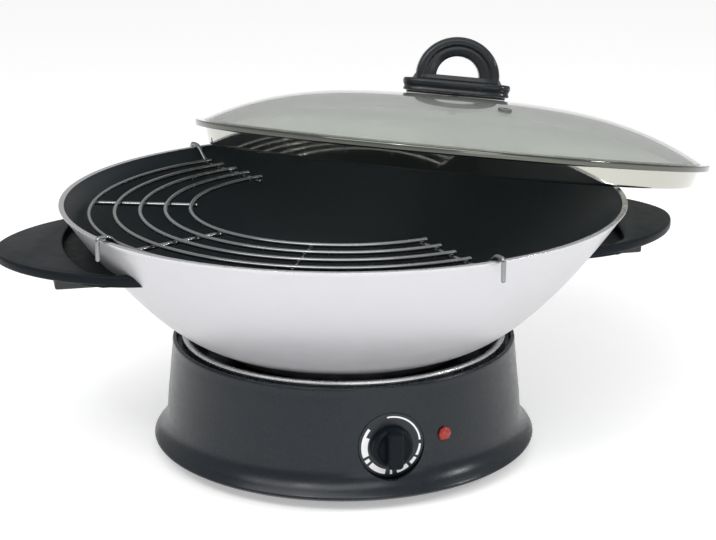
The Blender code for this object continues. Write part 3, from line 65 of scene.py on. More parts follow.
# Share of the height, share of the way from the top's radius to the flare's
CASE_WALL_SHARES = (
    (0.000, 0.47),
    (0.026, 0.79),
    (0.050, 0.97),
    (0.068, 1.00),
    (0.098, 0.87),
    (0.140, 0.66),
    (0.190, 0.49),
    (0.250, 0.38),
    (0.330, 0.325),
    (0.460, 0.27),
    (0.650, 0.16),
    (0.840, 0.055),
)
LEDGE_DEPTH = 0.0062
LEDGE_WIDTH = 0.0030
LEDGE_THICKNESS = 0.0022
DISH_WALL = 0.0012
DISH_WELL_RADIUS = 0.0975
DISH_FLOOR_RADIUS = 0.0900
DISH_FLOOR_HEIGHT = 0.0585
TRIM_RADIUS = 0.1054
TRIM_WIDTH = 0.0042
TRIM_PROUD = 0.0020
HOTPLATE_RADIUS = 0.0800
HOTPLATE_THICKNESS = 0.0070
SENSOR_RADIUS = 0.0086
SENSOR_HEAD = 0.0028
SENSOR_STEM_RADIUS = 0.0045
SENSOR_STEM_BOTTOM = 0.0520
SENSOR_HOLE_GAP = 0.0004
FOOT_RADIUS = 0.0090
FOOT_STEM_RADIUS = 0.0030
FOOT_STEM_LENGTH = 0.0040
FOOT_CENTRE = 0.0960

# Controls
KNOB_TURN = math.radians(2.0)
KNOB_HEIGHT = 0.0374
DIAL_FACE = 0.1129
DIAL_RADIUS = 0.0205
DIAL_THICKNESS = 0.0012
DIAL_HOLE_RADIUS = 0.0036
DIAL_BOSS_WIDTH = 0.0022
DIAL_BOSS_DEPTH = 0.0036
MARK_LOW, MARK_HIGH = DIAL_FACE - 0.0002, DIAL_FACE + 0.00012
MARK_EDGE = DIAL_RADIUS - 0.0019
# Clockwise from the top, in degrees: start, end; then the width at each end, and the steps
DIAL_MARKS = (
    (-8, 84, 0.0010, 0.0011, 20),
    (92, 116, 0.0012, 0.0017, 20),
    (121, 136, 0.0018, 0.0022, 20),
    (143, 168, 0.0027, 0.0030, 20),
    (192, 229, 0.0031, 0.0034, 20),
    (235, 243, 0.0030, 0.0030, 20),
    (249, 292, 0.0038, 0.0042, 20),
    (177.8, 182.2, 0.0026, 0.0026, 4),
    (292, 310, 0.0018, 0.0018, 4),
)
SHAFT_HOLE_RADIUS = 0.0053
KNOB_RADIUS = 0.0130
KNOB_FACE_GAP = 0.0006
KNOB_SKIRT = 0.0062
KNOB_GRIP_WIDTH = 0.0100
KNOB_GRIP_HEIGHT = 0.0125
KNOB_GRIP_START = 0.0022
LAMP_TURN = math.radians(19.5)
LAMP_HEIGHT = 0.0402
LENS_RADIUS = 0.0045
LENS_SEAT = 0.1150
LENS_RISE = 0.0026
LENS_SIDES = 8
LENS_STEM_RADIUS = 0.0034
LENS_STEM_LENGTH = 0.0075
LENS_HOLE_RADIUS = 0.0037
GLAND_HEIGHT = 0.0340
GLAND_FACE = 0.1168
GLAND_BORE = 0.0036
GLAND_NECK_RADIUS = 0.0058
GLAND_NECK_LENGTH = 0.0075
GLAND_RADIUS = 0.0085
GLAND_HOLE_RADIUS = 0.0061
GLAND_BOSS_RADIUS = 0.0097
GLAND_BOSS_BACK = 0.1110

# Pan
RIM_RADIUS = 0.1800
RIM_HEIGHT = 0.1660
PAN_BOTTOM = 0.0752
PAN_BOTTOM_RADIUS = 0.0858
PAN_CURVE_POWER = 1.57
PAN_WALL = 0.0032
PAN_FLOOR_THICKNESS = 0.0050
RIM_ROUND = 0.0007
RIM_BAND = 0.0008
DISC_RADIUS = 0.0800
DISC_THICKNESS = 0.0028
DISC_PROUD = 0.0001

# Handles
HANDLE_TOP = 0.1428
HANDLE_THICKNESS = 0.0058
HANDLE_CENTRE = 0.1340
HANDLE_REACH = 0.2212
HANDLE_HALF_WIDTH = 0.0800
HANDLE_FULLNESS = 1.75
HANDLE_ROOT_DROP = 0.0010
HANDLE_ROOT_WIDTH = 0.0080
GRIP_INNER = 0.1785
GRIP_INSIDE = 0.1100
ROOT_INSET = 0.0009
FINGER_HALF_ANGLE = math.radians(20)
FINGER_END = 0.1560

# Rack
WIRE_RADIUS = 0.0014
RACK_HEIGHT = 0.1585
RACK_INNER_RADIUS = 0.0975
RACK_SPACING = 0.0160
RACK_ARCS = 5
RACK_OVERHANG = 0.0030
CROSS_ANGLES = tuple(math.radians(angle) for angle in (114.0, 161.5, 206.5, 246.0, 286.5))
CROSS_HOOKED = (True, False, True, False, True)
CROSS_SINK = 0.0004
HOOK_BEND = 0.0040
HOOK_DROP = 0.0135

# Lid
LID_RIM_RADIUS = 0.1848
LID_FLANGE = 0.0045
LID_SKIRT_RADIUS = 0.1740
LID_SKIRT_DEPTH = 0.0120
LID_SKIRT_WALL = 0.0010
LID_SKIRT_FLARE = 0.0034
GLASS_RADIUS = 0.1779
GLASS_THICKNESS = 0.0040
GLASS_SEAT = 0.0012
GLASS_RISE = 0.0315
GLASS_POWER = 3.15
GLASS_HOLE_RADIUS = 0.0027
KNOB_PLATE_LENGTH = 0.0774
KNOB_PLATE_WIDTH = 0.0340
KNOB_PLATE_FULLNESS = 3.4
KNOB_PLATE_THICKNESS = 0.0090
KNOB_TIER_LENGTH = 0.0630
KNOB_TIER_WIDTH = 0.0260
KNOB_TIER_HEIGHT = 0.0036
ARCH_LENGTH = 0.0600
ARCH_HEIGHT = 0.0284
ARCH_WIDTH = 0.0205
ARCH_OPENING_LENGTH = 0.0308
ARCH_OPENING_HEIGHT = 0.0145
GASKET_INSET = 0.0030
GASKET_THICKNESS = 0.0012
LID_HEADING = math.radians(50.6)
LID_REST_HALF_ANGLE = math.radians(59.4)
LID_LEAN = math.radians(11.6)
LID_SPIN = math.radians(-13.0)
LID_REST_GAP = 0.0010
VENT_X = 0.0270
VENT_Y = -0.1050
VENT_HOLE_RADIUS = 0.0033
VENT_BORE = 0.0012
VENT_NECK_RADIUS = 0.0030
VENT_RADIUS = 0.0048
VENT_FLANGE = 0.0010

# Camera and studio
CAMERA_PLACE = (-0.23708, -1.06845, 0.4344)
CAMERA_PITCH = math.radians(73.74)
CAMERA_HEADING = math.radians(-13.0)
CAMERA_LENS = 88.5
HORIZON_LEVEL, ZENITH_LEVEL = 0.52, 0.60
PAPER_GLOW = 0.36
# Name, place, target, size and watts
LAMPS = (
    ("key_panel", (-0.9, -1.1, 1.5), (0, 0, 0.1), (0.16, 0.16), 2),
    ("fill_panel", (1.3, -0.6, 0.9), (0, 0, 0.1), (0.14, 0.14), 4),
    ("top_panel", (0, -0.15, 1.5), (0, 0, 0.1), (1.2, 0.45), 2.5),
    ("front_panel", (0.3, -1.5, 0.25), (0, 0, 0.1), (1.2, 0.3), 2),
    ("flare_panel", (-0.435, -0.685, 1.0), (0, 0, 0.02), (1.75, 0.40), 7),
)


# ---------------------------------------------------------------- materials
def node(tree, kind, **inputs):
    made = tree.nodes.new(kind)
    for name, value in inputs.items():
        made.inputs[name.replace("_", " ")].default_value = value
    return made


def skin(
    name, colour, roughness, metallic=0.0, level=0.5, mottle=0.08, mottle_size=0.02, wear=0.06,
    grain=0.3, grain_size=0.0006, grain_depth=0.00002, rings=0.0, ring_size=0.0008, coat=0.0,
):
    """A Principled finish with mottled colour, uneven gloss and a fine bump; rings adds turning lines."""
    made = bpy.data.materials.new(name)
    made.use_nodes = True
    tree = made.node_tree
    link = tree.links.new
    shader = tree.nodes["Principled BSDF"]
    shader.inputs["Metallic"].default_value = metallic
    shader.inputs["Specular IOR Level"].default_value = level
    shader.inputs["Coat Weight"].default_value = coat
    shader.inputs["Coat Roughness"].default_value = 0.08
    place = tree.nodes.new("ShaderNodeTexCoord").outputs["Object"]
    clouds = node(tree, "ShaderNodeTexNoise", Scale=1 / mottle_size, Detail=4.0, Roughness=0.6)
    link(place, clouds.inputs["Vector"])
    tint = tree.nodes.new("ShaderNodeMix")
    tint.data_type = "RGBA"
    tint.inputs["A"].default_value = (*[c * (1 - mottle) for c in colour], 1)
    tint.inputs["B"].default_value = (*[min(c * (1 + mottle), 1) for c in colour], 1)
    link(clouds.outputs["Fac"], tint.inputs["Factor"])
    link(tint.outputs["Result"], shader.inputs["Base Color"])
    smears = node(tree, "ShaderNodeTexNoise", Scale=2.3 / mottle_size, Detail=3.0)
    link(place, smears.inputs["Vector"])
    gloss = node(
        tree, "ShaderNodeMapRange", From_Min=0.3, From_Max=0.7, To_Min=max(roughness - wear, 0.02),
        To_Max=roughness + wear,
    )
    link(smears.outputs["Fac"], gloss.inputs["Value"])
    link(gloss.outputs["Result"], shader.inputs["Roughness"])
    specks = node(tree, "ShaderNodeTexNoise", Scale=1 / grain_size, Detail=2.0)
    link(place, specks.inputs["Vector"])
    height = specks.outputs["Fac"]
    if rings:
        apart = tree.nodes.new("ShaderNodeSeparateXYZ")
        flat = tree.nodes.new("ShaderNodeVectorMath")
        flat.operation = "MULTIPLY"
        flat.inputs[1].default_value = (1, 1, 0)
        reach = tree.nodes.new("ShaderNodeVectorMath")
        reach.operation = "LENGTH"
        line = tree.nodes.new("ShaderNodeCombineXYZ")
        link(place, apart.inputs[0])
        link(place, flat.inputs[0])
        link(flat.outputs["Vector"], reach.inputs[0])
        link(reach.outputs["Value"], line.inputs["X"])
        link(apart.outputs["Z"], line.inputs["Y"])
        turning = node(tree, "ShaderNodeTexNoise", Scale=1 / ring_size, Detail=3.0)
        link(line.outputs["Vector"], turning.inputs["Vector"])
        both = tree.nodes.new("ShaderNodeMix")
        both.inputs["Factor"].default_value = rings
        link(specks.outputs["Fac"], both.inputs["A"])
        link(turning.outputs["Fac"], both.inputs["B"])
        height = both.outputs["Result"]
    bump = node(tree, "ShaderNodeBump", Strength=grain, Distance=grain_depth)
    link(height, bump.inputs["Height"])
    link(bump.outputs["Normal"], shader.inputs["Normal"])
    return made


def glass_skin(name, colour, transmission, roughness, level=0.5):
    """Clear or tinted glass with faint smears in its gloss."""
    made = skin(name, colour, roughness, level=level, mottle=0.03, mottle_size=0.05, wear=0.015, grain=0.05)
    shader = made.node_tree.nodes["Principled BSDF"]
    shader.inputs["Transmission Weight"].default_value = transmission
    shader.inputs["IOR"].default_value = 1.5
    return made


charcoal = skin(
    "charcoal_plastic", (0.006, 0.010, 0.015), 0.27, level=0.36, grain=0.12, grain_size=0.0005,
    mottle=0.06, wear=0.03,
)
dial_black = skin("dial_plastic", (0.011, 0.016, 0.021), 0.32, level=0.38, grain=0.12, grain_size=0.0004)
phenolic = skin(
    "black_phenolic", (0.005, 0.008, 0.011), 0.42, level=0.12, grain=0.15, grain_size=0.0005,
    mottle=0.05, wear=0.03,
)
gloss_phenolic = skin(
    "gloss_phenolic", (0.012, 0.015, 0.018), 0.24, level=0.35, grain=0.15, wear=0.05, coat=0.1,
)
grey_plastic = skin("grey_plastic", (0.050, 0.056, 0.054), 0.50, level=0.3, grain=0.3)
enamel = skin("black_enamel", (0.008, 0.009, 0.010), 0.42, level=0.25, grain=0.1, mottle=0.1)
satin_silver = skin(
    "satin_silver", (0.68, 0.68, 0.705), 0.36, metallic=0.45, mottle=0.02, wear=0.03, grain=0.04,
    grain_size=0.0003, rings=0.7, ring_size=0.0007,
)
nonstick = skin(
    "nonstick_coating", (0.012, 0.017, 0.021), 0.38, level=0.24, mottle=0.35, mottle_size=0.0016, wear=0.07,
    grain=0.5, grain_size=0.0007, grain_depth=0.00003,
)
bare_rim = skin("bare_rim_metal", (0.62, 0.62, 0.63), 0.28, metallic=1.0, mottle=0.03, grain=0.04, rings=0.8)
rim_steel = skin("rim_steel", (0.50, 0.50, 0.45), 0.07, metallic=1.0, mottle=0.02, wear=0.02, grain=0.01)
# Near-black polished steel on the rounded top corner of the lid's flange: a painted dark reflection, a dark
# line standing in for the dark surroundings that this edge mirrors.
rim_corner_dark_reflection = skin(
    "rim_corner_painted_reflection", (0.03, 0.034, 0.03), 0.20, metallic=1.0, mottle=0.05, wear=0.03, grain=0.01,
)
# Dark polished steel on the flange's outer side: a painted dark reflection, darker than the rest of the rim
# steel so that the side reads dark all round.
rim_edge_dark_reflection = skin(
    "rim_edge_painted_reflection", (0.13, 0.135, 0.12), 0.12, metallic=1.0, mottle=0.05, wear=0.03, grain=0.01,
)
trim_steel = skin("trim_steel", (0.62, 0.63, 0.64), 0.28, metallic=1.0, mottle=0.02, wear=0.04, grain=0.03)
vent_steel = skin("vent_steel", (0.16, 0.17, 0.16), 0.25, metallic=1.0, mottle=0.05, grain=0.02)
# Near-black matte finish for the handle brackets: painted shade, darkened so that the handle slots read as
# lying in shadow.
slot_painted_shade = skin("slot_painted_shade", (0.007, 0.008, 0.009), 0.60, level=0.2, mottle=0.2, grain=0.3)
wire_steel = skin(
    "wire_steel", (0.27, 0.275, 0.28), 0.22, metallic=1.0, mottle=0.06, mottle_size=0.01, grain=0.02,
)
aluminium = skin(
    "bare_aluminium", (0.60, 0.61, 0.62), 0.36, metallic=1.0, mottle=0.06, grain=0.6,
    rings=0.85, ring_size=0.0009,
)
zinc = skin("zinc_steel", (0.55, 0.55, 0.53), 0.38, metallic=1.0, mottle=0.12, mottle_size=0.004)
rubber = skin("black_rubber", (0.014, 0.014, 0.015), 0.75, grain=0.6, grain_size=0.0004)
ceramic = skin("white_ceramic", (0.74, 0.73, 0.69), 0.55, mottle=0.05, grain=0.5)
insulation = skin("wire_insulation", (0.28, 0.09, 0.05), 0.55, mottle=0.1)
print_white = skin("printed_white", (0.95, 0.95, 0.95), 0.45, mottle=0.05, mottle_size=0.002, grain=0.3)
lid_glass_skin = glass_skin("lid_glass", (0.70, 0.73, 0.69), 0.78, 0.03)
lens_skin = glass_skin("red_lens", (0.40, 0.03, 0.018), 0.25, 0.16)
lens_shader = lens_skin.node_tree.nodes["Principled BSDF"]
lens_shader.inputs["Emission Color"].default_value = (0.9, 0.08, 0.04, 1)
lens_shader.inputs["Emission Strength"].default_value = 0.03


# ---------------------------------------------------------------- shapes
def rounded(corners, closed=True, steps=CORNER_STEPS):
    """Points through (x, y, radius) corners, each corner with a radius turned into a curve."""
    points = []
    count = len(corners)
    for index, (x, y, radius) in enumerate(corners):
        corner = Vector((x, y))
        ends = not closed and index in (0, count - 1)
        if ends or not radius:
            points.append((x, y))
            continue
        before = Vector(corners[index - 1][:2]) - corner
        after = Vector(corners[(index + 1) % count][:2]) - corner
        start = corner + before.normalized() * min(radius, before.length * 0.49)
        end = corner + after.normalized() * min(radius, after.length * 0.49)
        for step in range(steps + 1):
            t = step / steps
            point = start * (1 - t) ** 2 + corner * (2 * t * (1 - t)) + end * t**2
            points.append(tuple(point))
    return points


def smooth_line(points, between):
    """A smooth curve through 2-D points, with this many points from one to the next."""
    line = [Vector(point) for point in points]
    line = [line[0] * 2 - line[1]] + line + [line[-1] * 2 - line[-2]]
    made = []
    for a, b, c, d in zip(line, line[1:], line[2:], line[3:]):
        for step in range(between):
            t = step / between
            made.append(
                (b * 2 + (c - a) * t + (a * 2 - b * 5 + c * 4 - d) * t**2 + (b * 3 - a - c * 3 + d) * t**3) / 2
            )
    made.append(line[-2])
    return [tuple(point) for point in made]


def finished(name, mesh, *finishes):
    """A smooth-shaded object from a bmesh."""
    bmesh.ops.remove_doubles(mesh, verts=mesh.verts, dist=MERGE)
    bmesh.ops.recalc_face_normals(mesh, faces=mesh.faces)
    data = bpy.data.meshes.new(name)
    mesh.to_mesh(data)
    mesh.free()
    data.shade_smooth()
    data.set_sharp_from_angle(angle=SHARP_ANGLE)
    for finish in finishes:
        data.materials.append(finish)
    obj = bpy.data.objects.new(name, data)
    bpy.context.scene.collection.objects.link(obj)
    return obj


def circle_point(radius, share):
    """A point on a circle, at a share of the full turn."""
    return radius * math.cos(FULL * share), radius * math.sin(FULL * share)


def lathe(name, outline, finish, steps=TURN_STEPS, slots=None):
    """A turned piece from (radius, height) points; points on the axis close it, slots picks a face's finish."""
    mesh = bmesh.new()
    rings = []
    for radius, height in outline:
        if radius < ON_AXIS:
            rings.append([mesh.verts.new((0, 0, height))])
        else:
            rings.append([mesh.verts.new((*circle_point(radius, s / steps), height)) for s in range(steps)])
    open_line = len(rings[0]) == 1 or len(rings[-1]) == 1
    pairs = list(zip(rings, rings[1:]))
    if not open_line:
        pairs.append((rings[-1], rings[0]))
    for index, (low, high) in enumerate(pairs):
        for s in range(steps):
            after = (s + 1) % steps
            face = [low[s % len(low)], low[after % len(low)], high[after % len(high)], high[s % len(high)]]
            unique = list(dict.fromkeys(face))
            if len(unique) > 2:
                made = mesh.faces.new(unique)
                made.material_index = slots(index) if slots else 0
    finishes = finish if isinstance(finish, (list, tuple)) else [finish]
    return finished(name, mesh, *finishes)


def prism(name, outline, low, high, finish):
    mesh = bmesh.new()
    floor = [mesh.verts.new((x, y, low)) for x, y in outline]
    roof = [mesh.verts.new((x, y, high)) for x, y in outline]
    mesh.faces.new(floor)
    mesh.faces.new(roof)
    for index in range(len(outline)):
        after = (index + 1) % len(outline)
        mesh.faces.new((floor[index], floor[after], roof[after], roof[index]))
    return finished(name, mesh, finish)


def loft(mesh, rows):
    """Walls from each closed row of vertices to the next, and a cap at both ends."""
    for row, after in zip(rows, rows[1:]):
        for index in range(len(row)):
            other = (index + 1) % len(row)
            mesh.faces.new((row[index], row[other], after[other], after[index]))
    mesh.faces.new(rows[0])
    mesh.faces.new(rows[-1])


def add_tube(mesh, path, radius, sides):
    """A round wire with narrowed ends along a line of points."""
    path = [Vector(point) for point in path]
    runs = [(after - before).normalized() for before, after in zip(path, path[1:])]
    side = runs[0].orthogonal().normalized()
    rings = []
    end_share, end_length = 0.55, radius * 0.45
    stations = [(path[0], end_share), (path[0] + runs[0] * end_length, 1.0)]
    stations += [(point, 1.0) for point in path[1:-1]]
    stations += [(path[-1] - runs[-1] * end_length, 1.0), (path[-1], end_share)]
    headings = [runs[0], runs[0]]
    headings += [(a + b).normalized() for a, b in zip(runs, runs[1:])]
    headings += [runs[-1], runs[-1]]
    for (point, share), along in zip(stations, headings):
        side = (side - along * side.dot(along)).normalized()
        up = along.cross(side)
        offsets = [circle_point(radius * share, s / sides) for s in range(sides)]
        rings.append([mesh.verts.new(point + side * x + up * y) for x, y in offsets])
    loft(mesh, rings)


def baked(obj):
    """The object with its modifiers worked into its mesh."""
    bpy.context.view_layer.update()
    shape = obj.evaluated_get(bpy.context.evaluated_depsgraph_get())
    data = bpy.data.meshes.new_from_object(shape)
    obj.modifiers.clear()
    obj.data = data
    return obj


def bevel(obj, width, segments=3, angle=math.radians(30)):
    edge = obj.modifiers.new("bevel", "BEVEL")
    edge.width = width
    edge.segments = segments
    edge.limit_method = "ANGLE"
    edge.angle_limit = angle
    return baked(obj)


def carve(obj, *others, operation="DIFFERENCE"):
    for other in others:
        change = obj.modifiers.new("carve", "BOOLEAN")
        change.operation = operation
        change.solver = "EXACT"
        change.object = other
    baked(obj)
    for other in others:
        bpy.data.objects.remove(other, do_unlink=True)
    obj.data.shade_smooth()
    obj.data.set_sharp_from_angle(angle=SHARP_ANGLE)
    return obj


def placed(obj, matrix):
    obj.data.transform(matrix)
    return obj


def stands_for(obj, body, *names):
    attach(obj, body)
    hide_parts(*names)
    return obj


def out_of_case(turn, height, distance=0.0):
    heading = Matrix.Rotation(turn, 4, "Z") @ Matrix.Rotation(QUARTER, 4, "X")
    return Matrix.Translation((0, 0, height)) @ heading @ Matrix.Translation((0, 0, distance))


def case_radius(share):
    return CASE_TOP_RADIUS + (CASE_FLARE_RADIUS - CASE_TOP_RADIUS) * share


def case_height(share):
    return CASE_BOTTOM + (CASE_TOP - CASE_BOTTOM) * share


# ---------------------------------------------------------------- base
ledge_height = CASE_TOP - LEDGE_DEPTH


def casing():
    wall = [(case_radius(radius), case_height(height)) for height, radius in CASE_WALL_SHARES]
    wall.append((CASE_TOP_RADIUS, CASE_TOP - CASE_SHOULDER))
    outer = smooth_line(wall, 5)
    lip = CASE_TOP_RADIUS - CASE_WALL
    top = rounded(
        [
            (CASE_TOP_RADIUS, CASE_TOP - CASE_SHOULDER, 0),
            (CASE_TOP_RADIUS, CASE_TOP, 0.0040),
            (lip, CASE_TOP, 0.0008),
            (lip, ledge_height, 0),
        ],
        closed=False,
    )
    ledge = [
        (lip - LEDGE_WIDTH, ledge_height),
        (lip - LEDGE_WIDTH, ledge_height - LEDGE_THICKNESS),
        (lip, ledge_height - LEDGE_THICKNESS - LEDGE_WIDTH),
    ]
    inner = [(radius - CASE_WALL, height) for radius, height in outer[: -8 : 3]]
    case = lathe("case_shell", outer[:-1] + top + ledge + inner[::-1], charcoal)
    panel_front = DIAL_FACE - DIAL_THICKNESS - GAP
    end = CASE_FLARE_RADIUS + OVERRUN
    knob_place = out_of_case(KNOB_TURN, KNOB_HEIGHT)
    lamp_place = out_of_case(LAMP_TURN, LAMP_HEIGHT)
    gland_place = out_of_case(HALF, GLAND_HEIGHT)

    def plug(radius, low, high, place):
        return placed(lathe("plug", [(0, low), (radius, low), (radius, high), (0, high)], charcoal, 64), place)

    carve(
        case,
        plug(DIAL_RADIUS + DIAL_BOSS_WIDTH, panel_front - DIAL_BOSS_DEPTH, panel_front + 0.0004, knob_place),
        plug(GLAND_BOSS_RADIUS, GLAND_BOSS_BACK, GLAND_FACE - GAP, gland_place),
        operation="UNION",
    )
    carve(
        case,
        plug(DIAL_RADIUS + GAP, panel_front, end, knob_place),
        plug(SHAFT_HOLE_RADIUS, panel_front - OVERRUN * 2, end, knob_place),
        plug(LENS_HOLE_RADIUS, CASE_TOP_RADIUS / 2, end, lamp_place),
        plug(LENS_RADIUS + GAP, LENS_SEAT - GAP, end, lamp_place),
        plug(GLAND_HOLE_RADIUS, CASE_TOP_RADIUS / 2, end, gland_place),
    )
    return stands_for(case, "base", "base_case")


def trim():
    low = ledge_height + GAP + DISH_WALL + GAP
    top = CASE_TOP + TRIM_PROUD
    inner = TRIM_RADIUS - TRIM_WIDTH
    outline = rounded(
        [(inner, low, 0), (TRIM_RADIUS, low, 0), (TRIM_RADIUS, top, 0.0018), (inner, top, 0.0018)], steps=8
    )
    return stands_for(lathe("trim_band", outline, trim_steel), "base", "trim_ring")


def dish():
    edge = CASE_TOP_RADIUS - CASE_WALL - GAP
    low = ledge_height + GAP
    top = low + DISH_WALL
    hole = SENSOR_STEM_RADIUS + SENSOR_HOLE_GAP
    under = DISH_FLOOR_HEIGHT - DISH_WALL
    outline = rounded(
        [
            (hole, DISH_FLOOR_HEIGHT, 0),
            (DISH_FLOOR_RADIUS, DISH_FLOOR_HEIGHT, 0.003),
            (DISH_WELL_RADIUS, top, 0.003),
            (edge, top, 0),
            (edge, low, 0),
            (DISH_WELL_RADIUS + DISH_WALL, low, 0.003),
            (DISH_FLOOR_RADIUS + DISH_WALL, under, 0.003),
            (hole, under, 0),
        ]
    )
    return stands_for(lathe("dish_pan", outline, enamel, PLAIN_STEPS), "base", "heat_dish")


def hot_plate():
    top = PAN_BOTTOM - DISC_PROUD - GAP
    low = top - HOTPLATE_THICKNESS
    inner = SENSOR_RADIUS + SENSOR_HOLE_GAP
    groove = inner + (HOTPLATE_RADIUS - inner) * 0.60
    outline = rounded(
        [
            (inner, low, 0),
            (inner, top, 0.0006),
            (groove, top, 0.0002),
            (groove + 0.0003, top - 0.0006, 0.0002),
            (groove + 0.0013, top - 0.0006, 0.0002),
            (groove + 0.0016, top, 0.0002),
            (HOTPLATE_RADIUS, top, 0.0016),
            (HOTPLATE_RADIUS, low, 0.0008),
        ]
    )
    stands_for(lathe("hot_plate", outline, aluminium, PLAIN_STEPS), "base", "hotplate")
    head = rounded(
        [
            (0, SENSOR_STEM_BOTTOM, 0),
            (SENSOR_STEM_RADIUS, SENSOR_STEM_BOTTOM, 0.0006),
            (SENSOR_STEM_RADIUS, top - SENSOR_HEAD, 0.0003),
            (SENSOR_RADIUS, top - SENSOR_HEAD, 0.0004),
            (SENSOR_RADIUS, top, 0.0009),
            (0, top, 0),
        ],
        closed=False,
    )
    stands_for(lathe("sensor_button", head, aluminium, SMALL_STEPS), "base", "heat_sensor")


def feet():
    for number in range(4):
        angle = number * QUARTER
        pad_top = COVER_UNDERSIDE - GAP
        outline = rounded(
            [
                (0, 0, 0),
                (FOOT_RADIUS - 0.0030, 0, 0),
                (FOOT_RADIUS, 0, 0.0016),
                (FOOT_RADIUS, pad_top, 0.0006),
                (FOOT_STEM_RADIUS, pad_top, 0),
                (FOOT_STEM_RADIUS, pad_top + FOOT_STEM_LENGTH, 0.0008),
                (0, pad_top + FOOT_STEM_LENGTH, 0),
            ],
            closed=False,
        )
        foot = lathe(f"foot_pad_{number + 1}", outline, rubber, SMALL_STEPS)
        placed(foot, Matrix.Translation((FOOT_CENTRE * math.cos(angle), FOOT_CENTRE * math.sin(angle), 0)))
        stands_for(foot, "base", f"rubber_foot_{number + 1}")


def dial_mark(mesh, start, end, first_width, last_width, steps):
    """A flat raised mark along the scale's outer edge, whose width goes from the first to the last."""
    rows = []
    for step in range(steps + 1):
        t = step / steps
        angle = math.radians(start + (end - start) * t)
        near = MARK_EDGE - first_width - (last_width - first_width) * t
        corners = ((near, MARK_LOW), (MARK_EDGE, MARK_LOW), (MARK_EDGE, MARK_HIGH), (near, MARK_HIGH))
        rows.append(
            [
                mesh.verts.new((radius * math.sin(angle), radius * math.cos(angle), height))
                for radius, height in corners
            ]
        )
    loft(mesh, rows)


def controls():
    place = out_of_case(KNOB_TURN, KNOB_HEIGHT)
    low = DIAL_FACE - DIAL_THICKNESS
    outline = rounded(
        [
            (DIAL_HOLE_RADIUS, low, 0),
            (DIAL_RADIUS, low, 0),
            (DIAL_RADIUS, DIAL_FACE, 0.0005),
            (DIAL_HOLE_RADIUS, DIAL_FACE, 0),
        ]
    )
    stands_for(placed(lathe("dial_face", outline, dial_black, PLAIN_STEPS), place), "base", "dial_plate")
    marks = bmesh.new()
    for mark in DIAL_MARKS:
        dial_mark(marks, *mark)
    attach(placed(finished("dial_marks", marks, print_white), place), "base")

    low = DIAL_FACE + KNOB_FACE_GAP
    shoulder = low + KNOB_SKIRT
    outline = rounded(
        [
            (0, low, 0),
            (KNOB_RADIUS - 0.0004, low, 0.0003),
            (KNOB_RADIUS, low + 0.0008, 0.0005),
            (KNOB_RADIUS - 0.0006, shoulder - 0.0010, 0.0014),
            (KNOB_RADIUS - 0.0022, shoulder, 0.0008),
            (KNOB_RADIUS - 0.0042, shoulder - 0.0008, 0.0010),
            (0, shoulder - 0.0010, 0),
        ],
        closed=False,
        steps=7,
    )
    knob = lathe("knob_cap", outline, phenolic, PLAIN_STEPS)
    half = KNOB_RADIUS - 0.0012
    wide = KNOB_GRIP_WIDTH / 2
    plan = rounded(
        [(-wide, -half, 0.0032), (wide, -half, 0.0032), (wide, half, 0.0032), (-wide, half, 0.0032)], steps=8
    )
    mesh = bmesh.new()
    levels = [(0.0, 1.04), (0.5, 1.0), (0.80, 0.95), (0.92, 0.89), (0.98, 0.80), (1.0, 0.66)]
    rows = []
    for level, share in levels:
        narrow = 1 - (1 - share) * 0.55
        height = low + KNOB_GRIP_START + (KNOB_GRIP_HEIGHT - KNOB_GRIP_START) * level
        rows.append([mesh.verts.new((x * share, y * narrow, height)) for x, y in plan])
    loft(mesh, rows)
    grip = finished("grip", mesh, phenolic)
    carve(knob, grip, operation="UNION")
    stands_for(placed(knob, place), "control_knob", "knob")


def lamp():
    place = out_of_case(LAMP_TURN, LAMP_HEIGHT)
    mesh = bmesh.new()
    stem = LENS_SEAT - LENS_STEM_LENGTH
    rows = [
        (LENS_STEM_RADIUS, stem, 0),
        (LENS_STEM_RADIUS, LENS_SEAT, 0),
        (LENS_RADIUS, LENS_SEAT, 0),
        (LENS_RADIUS, LENS_SEAT + LENS_RISE * 0.3, 0),
        (LENS_RADIUS * 0.68, LENS_SEAT + LENS_RISE * 0.75, 0.5),
        (LENS_RADIUS * 0.30, LENS_SEAT + LENS_RISE, 0),
    ]
    rings = [
        [mesh.verts.new((*circle_point(radius, (s + turn) / LENS_SIDES), height)) for s in range(LENS_SIDES)]
        for radius, height, turn in rows
    ]
    for index, (ring, after) in enumerate(zip(rings, rings[1:])):
        for s in range(LENS_SIDES):
            other = (s + 1) % LENS_SIDES
            if rows[index][2] == rows[index + 1][2]:
                mesh.faces.new((ring[s], ring[other], after[other], after[s]))
            elif rows[index + 1][2]:
                mesh.faces.new((ring[s], ring[other], after[s]))
                mesh.faces.new((after[s], ring[other], after[other]))
            else:
                mesh.faces.new((ring[s], after[other], after[s]))
                mesh.faces.new((ring[s], ring[other], after[other]))
    mesh.faces.new(rings[0])
    mesh.faces.new(rings[-1])
    lens = finished("lamp_lens", mesh, lens_skin)
    lens.data.shade_flat()
    stands_for(placed(lens, place), "base", "pilot_lens")


def gland():
    outline = rounded(
        [
            (GLAND_BORE, GLAND_FACE - GLAND_NECK_LENGTH, 0),
            (GLAND_NECK_RADIUS, GLAND_FACE - GLAND_NECK_LENGTH, 0.0006),
            (GLAND_NECK_RADIUS, GLAND_FACE, 0),
            (GLAND_RADIUS, GLAND_FACE, 0.0004),
            (GLAND_RADIUS, GLAND_FACE + 0.0018, 0.0010),
            (0.0066, GLAND_FACE + 0.0030, 0.0008),
            (GLAND_BORE, GLAND_FACE + 0.0030, 0.0008),
        ]
    )
    piece = lathe("gland_bush", outline, rubber, SMALL_STEPS)
    stands_for(placed(piece, out_of_case(HALF, GLAND_HEIGHT)), "base", "cord_gland")


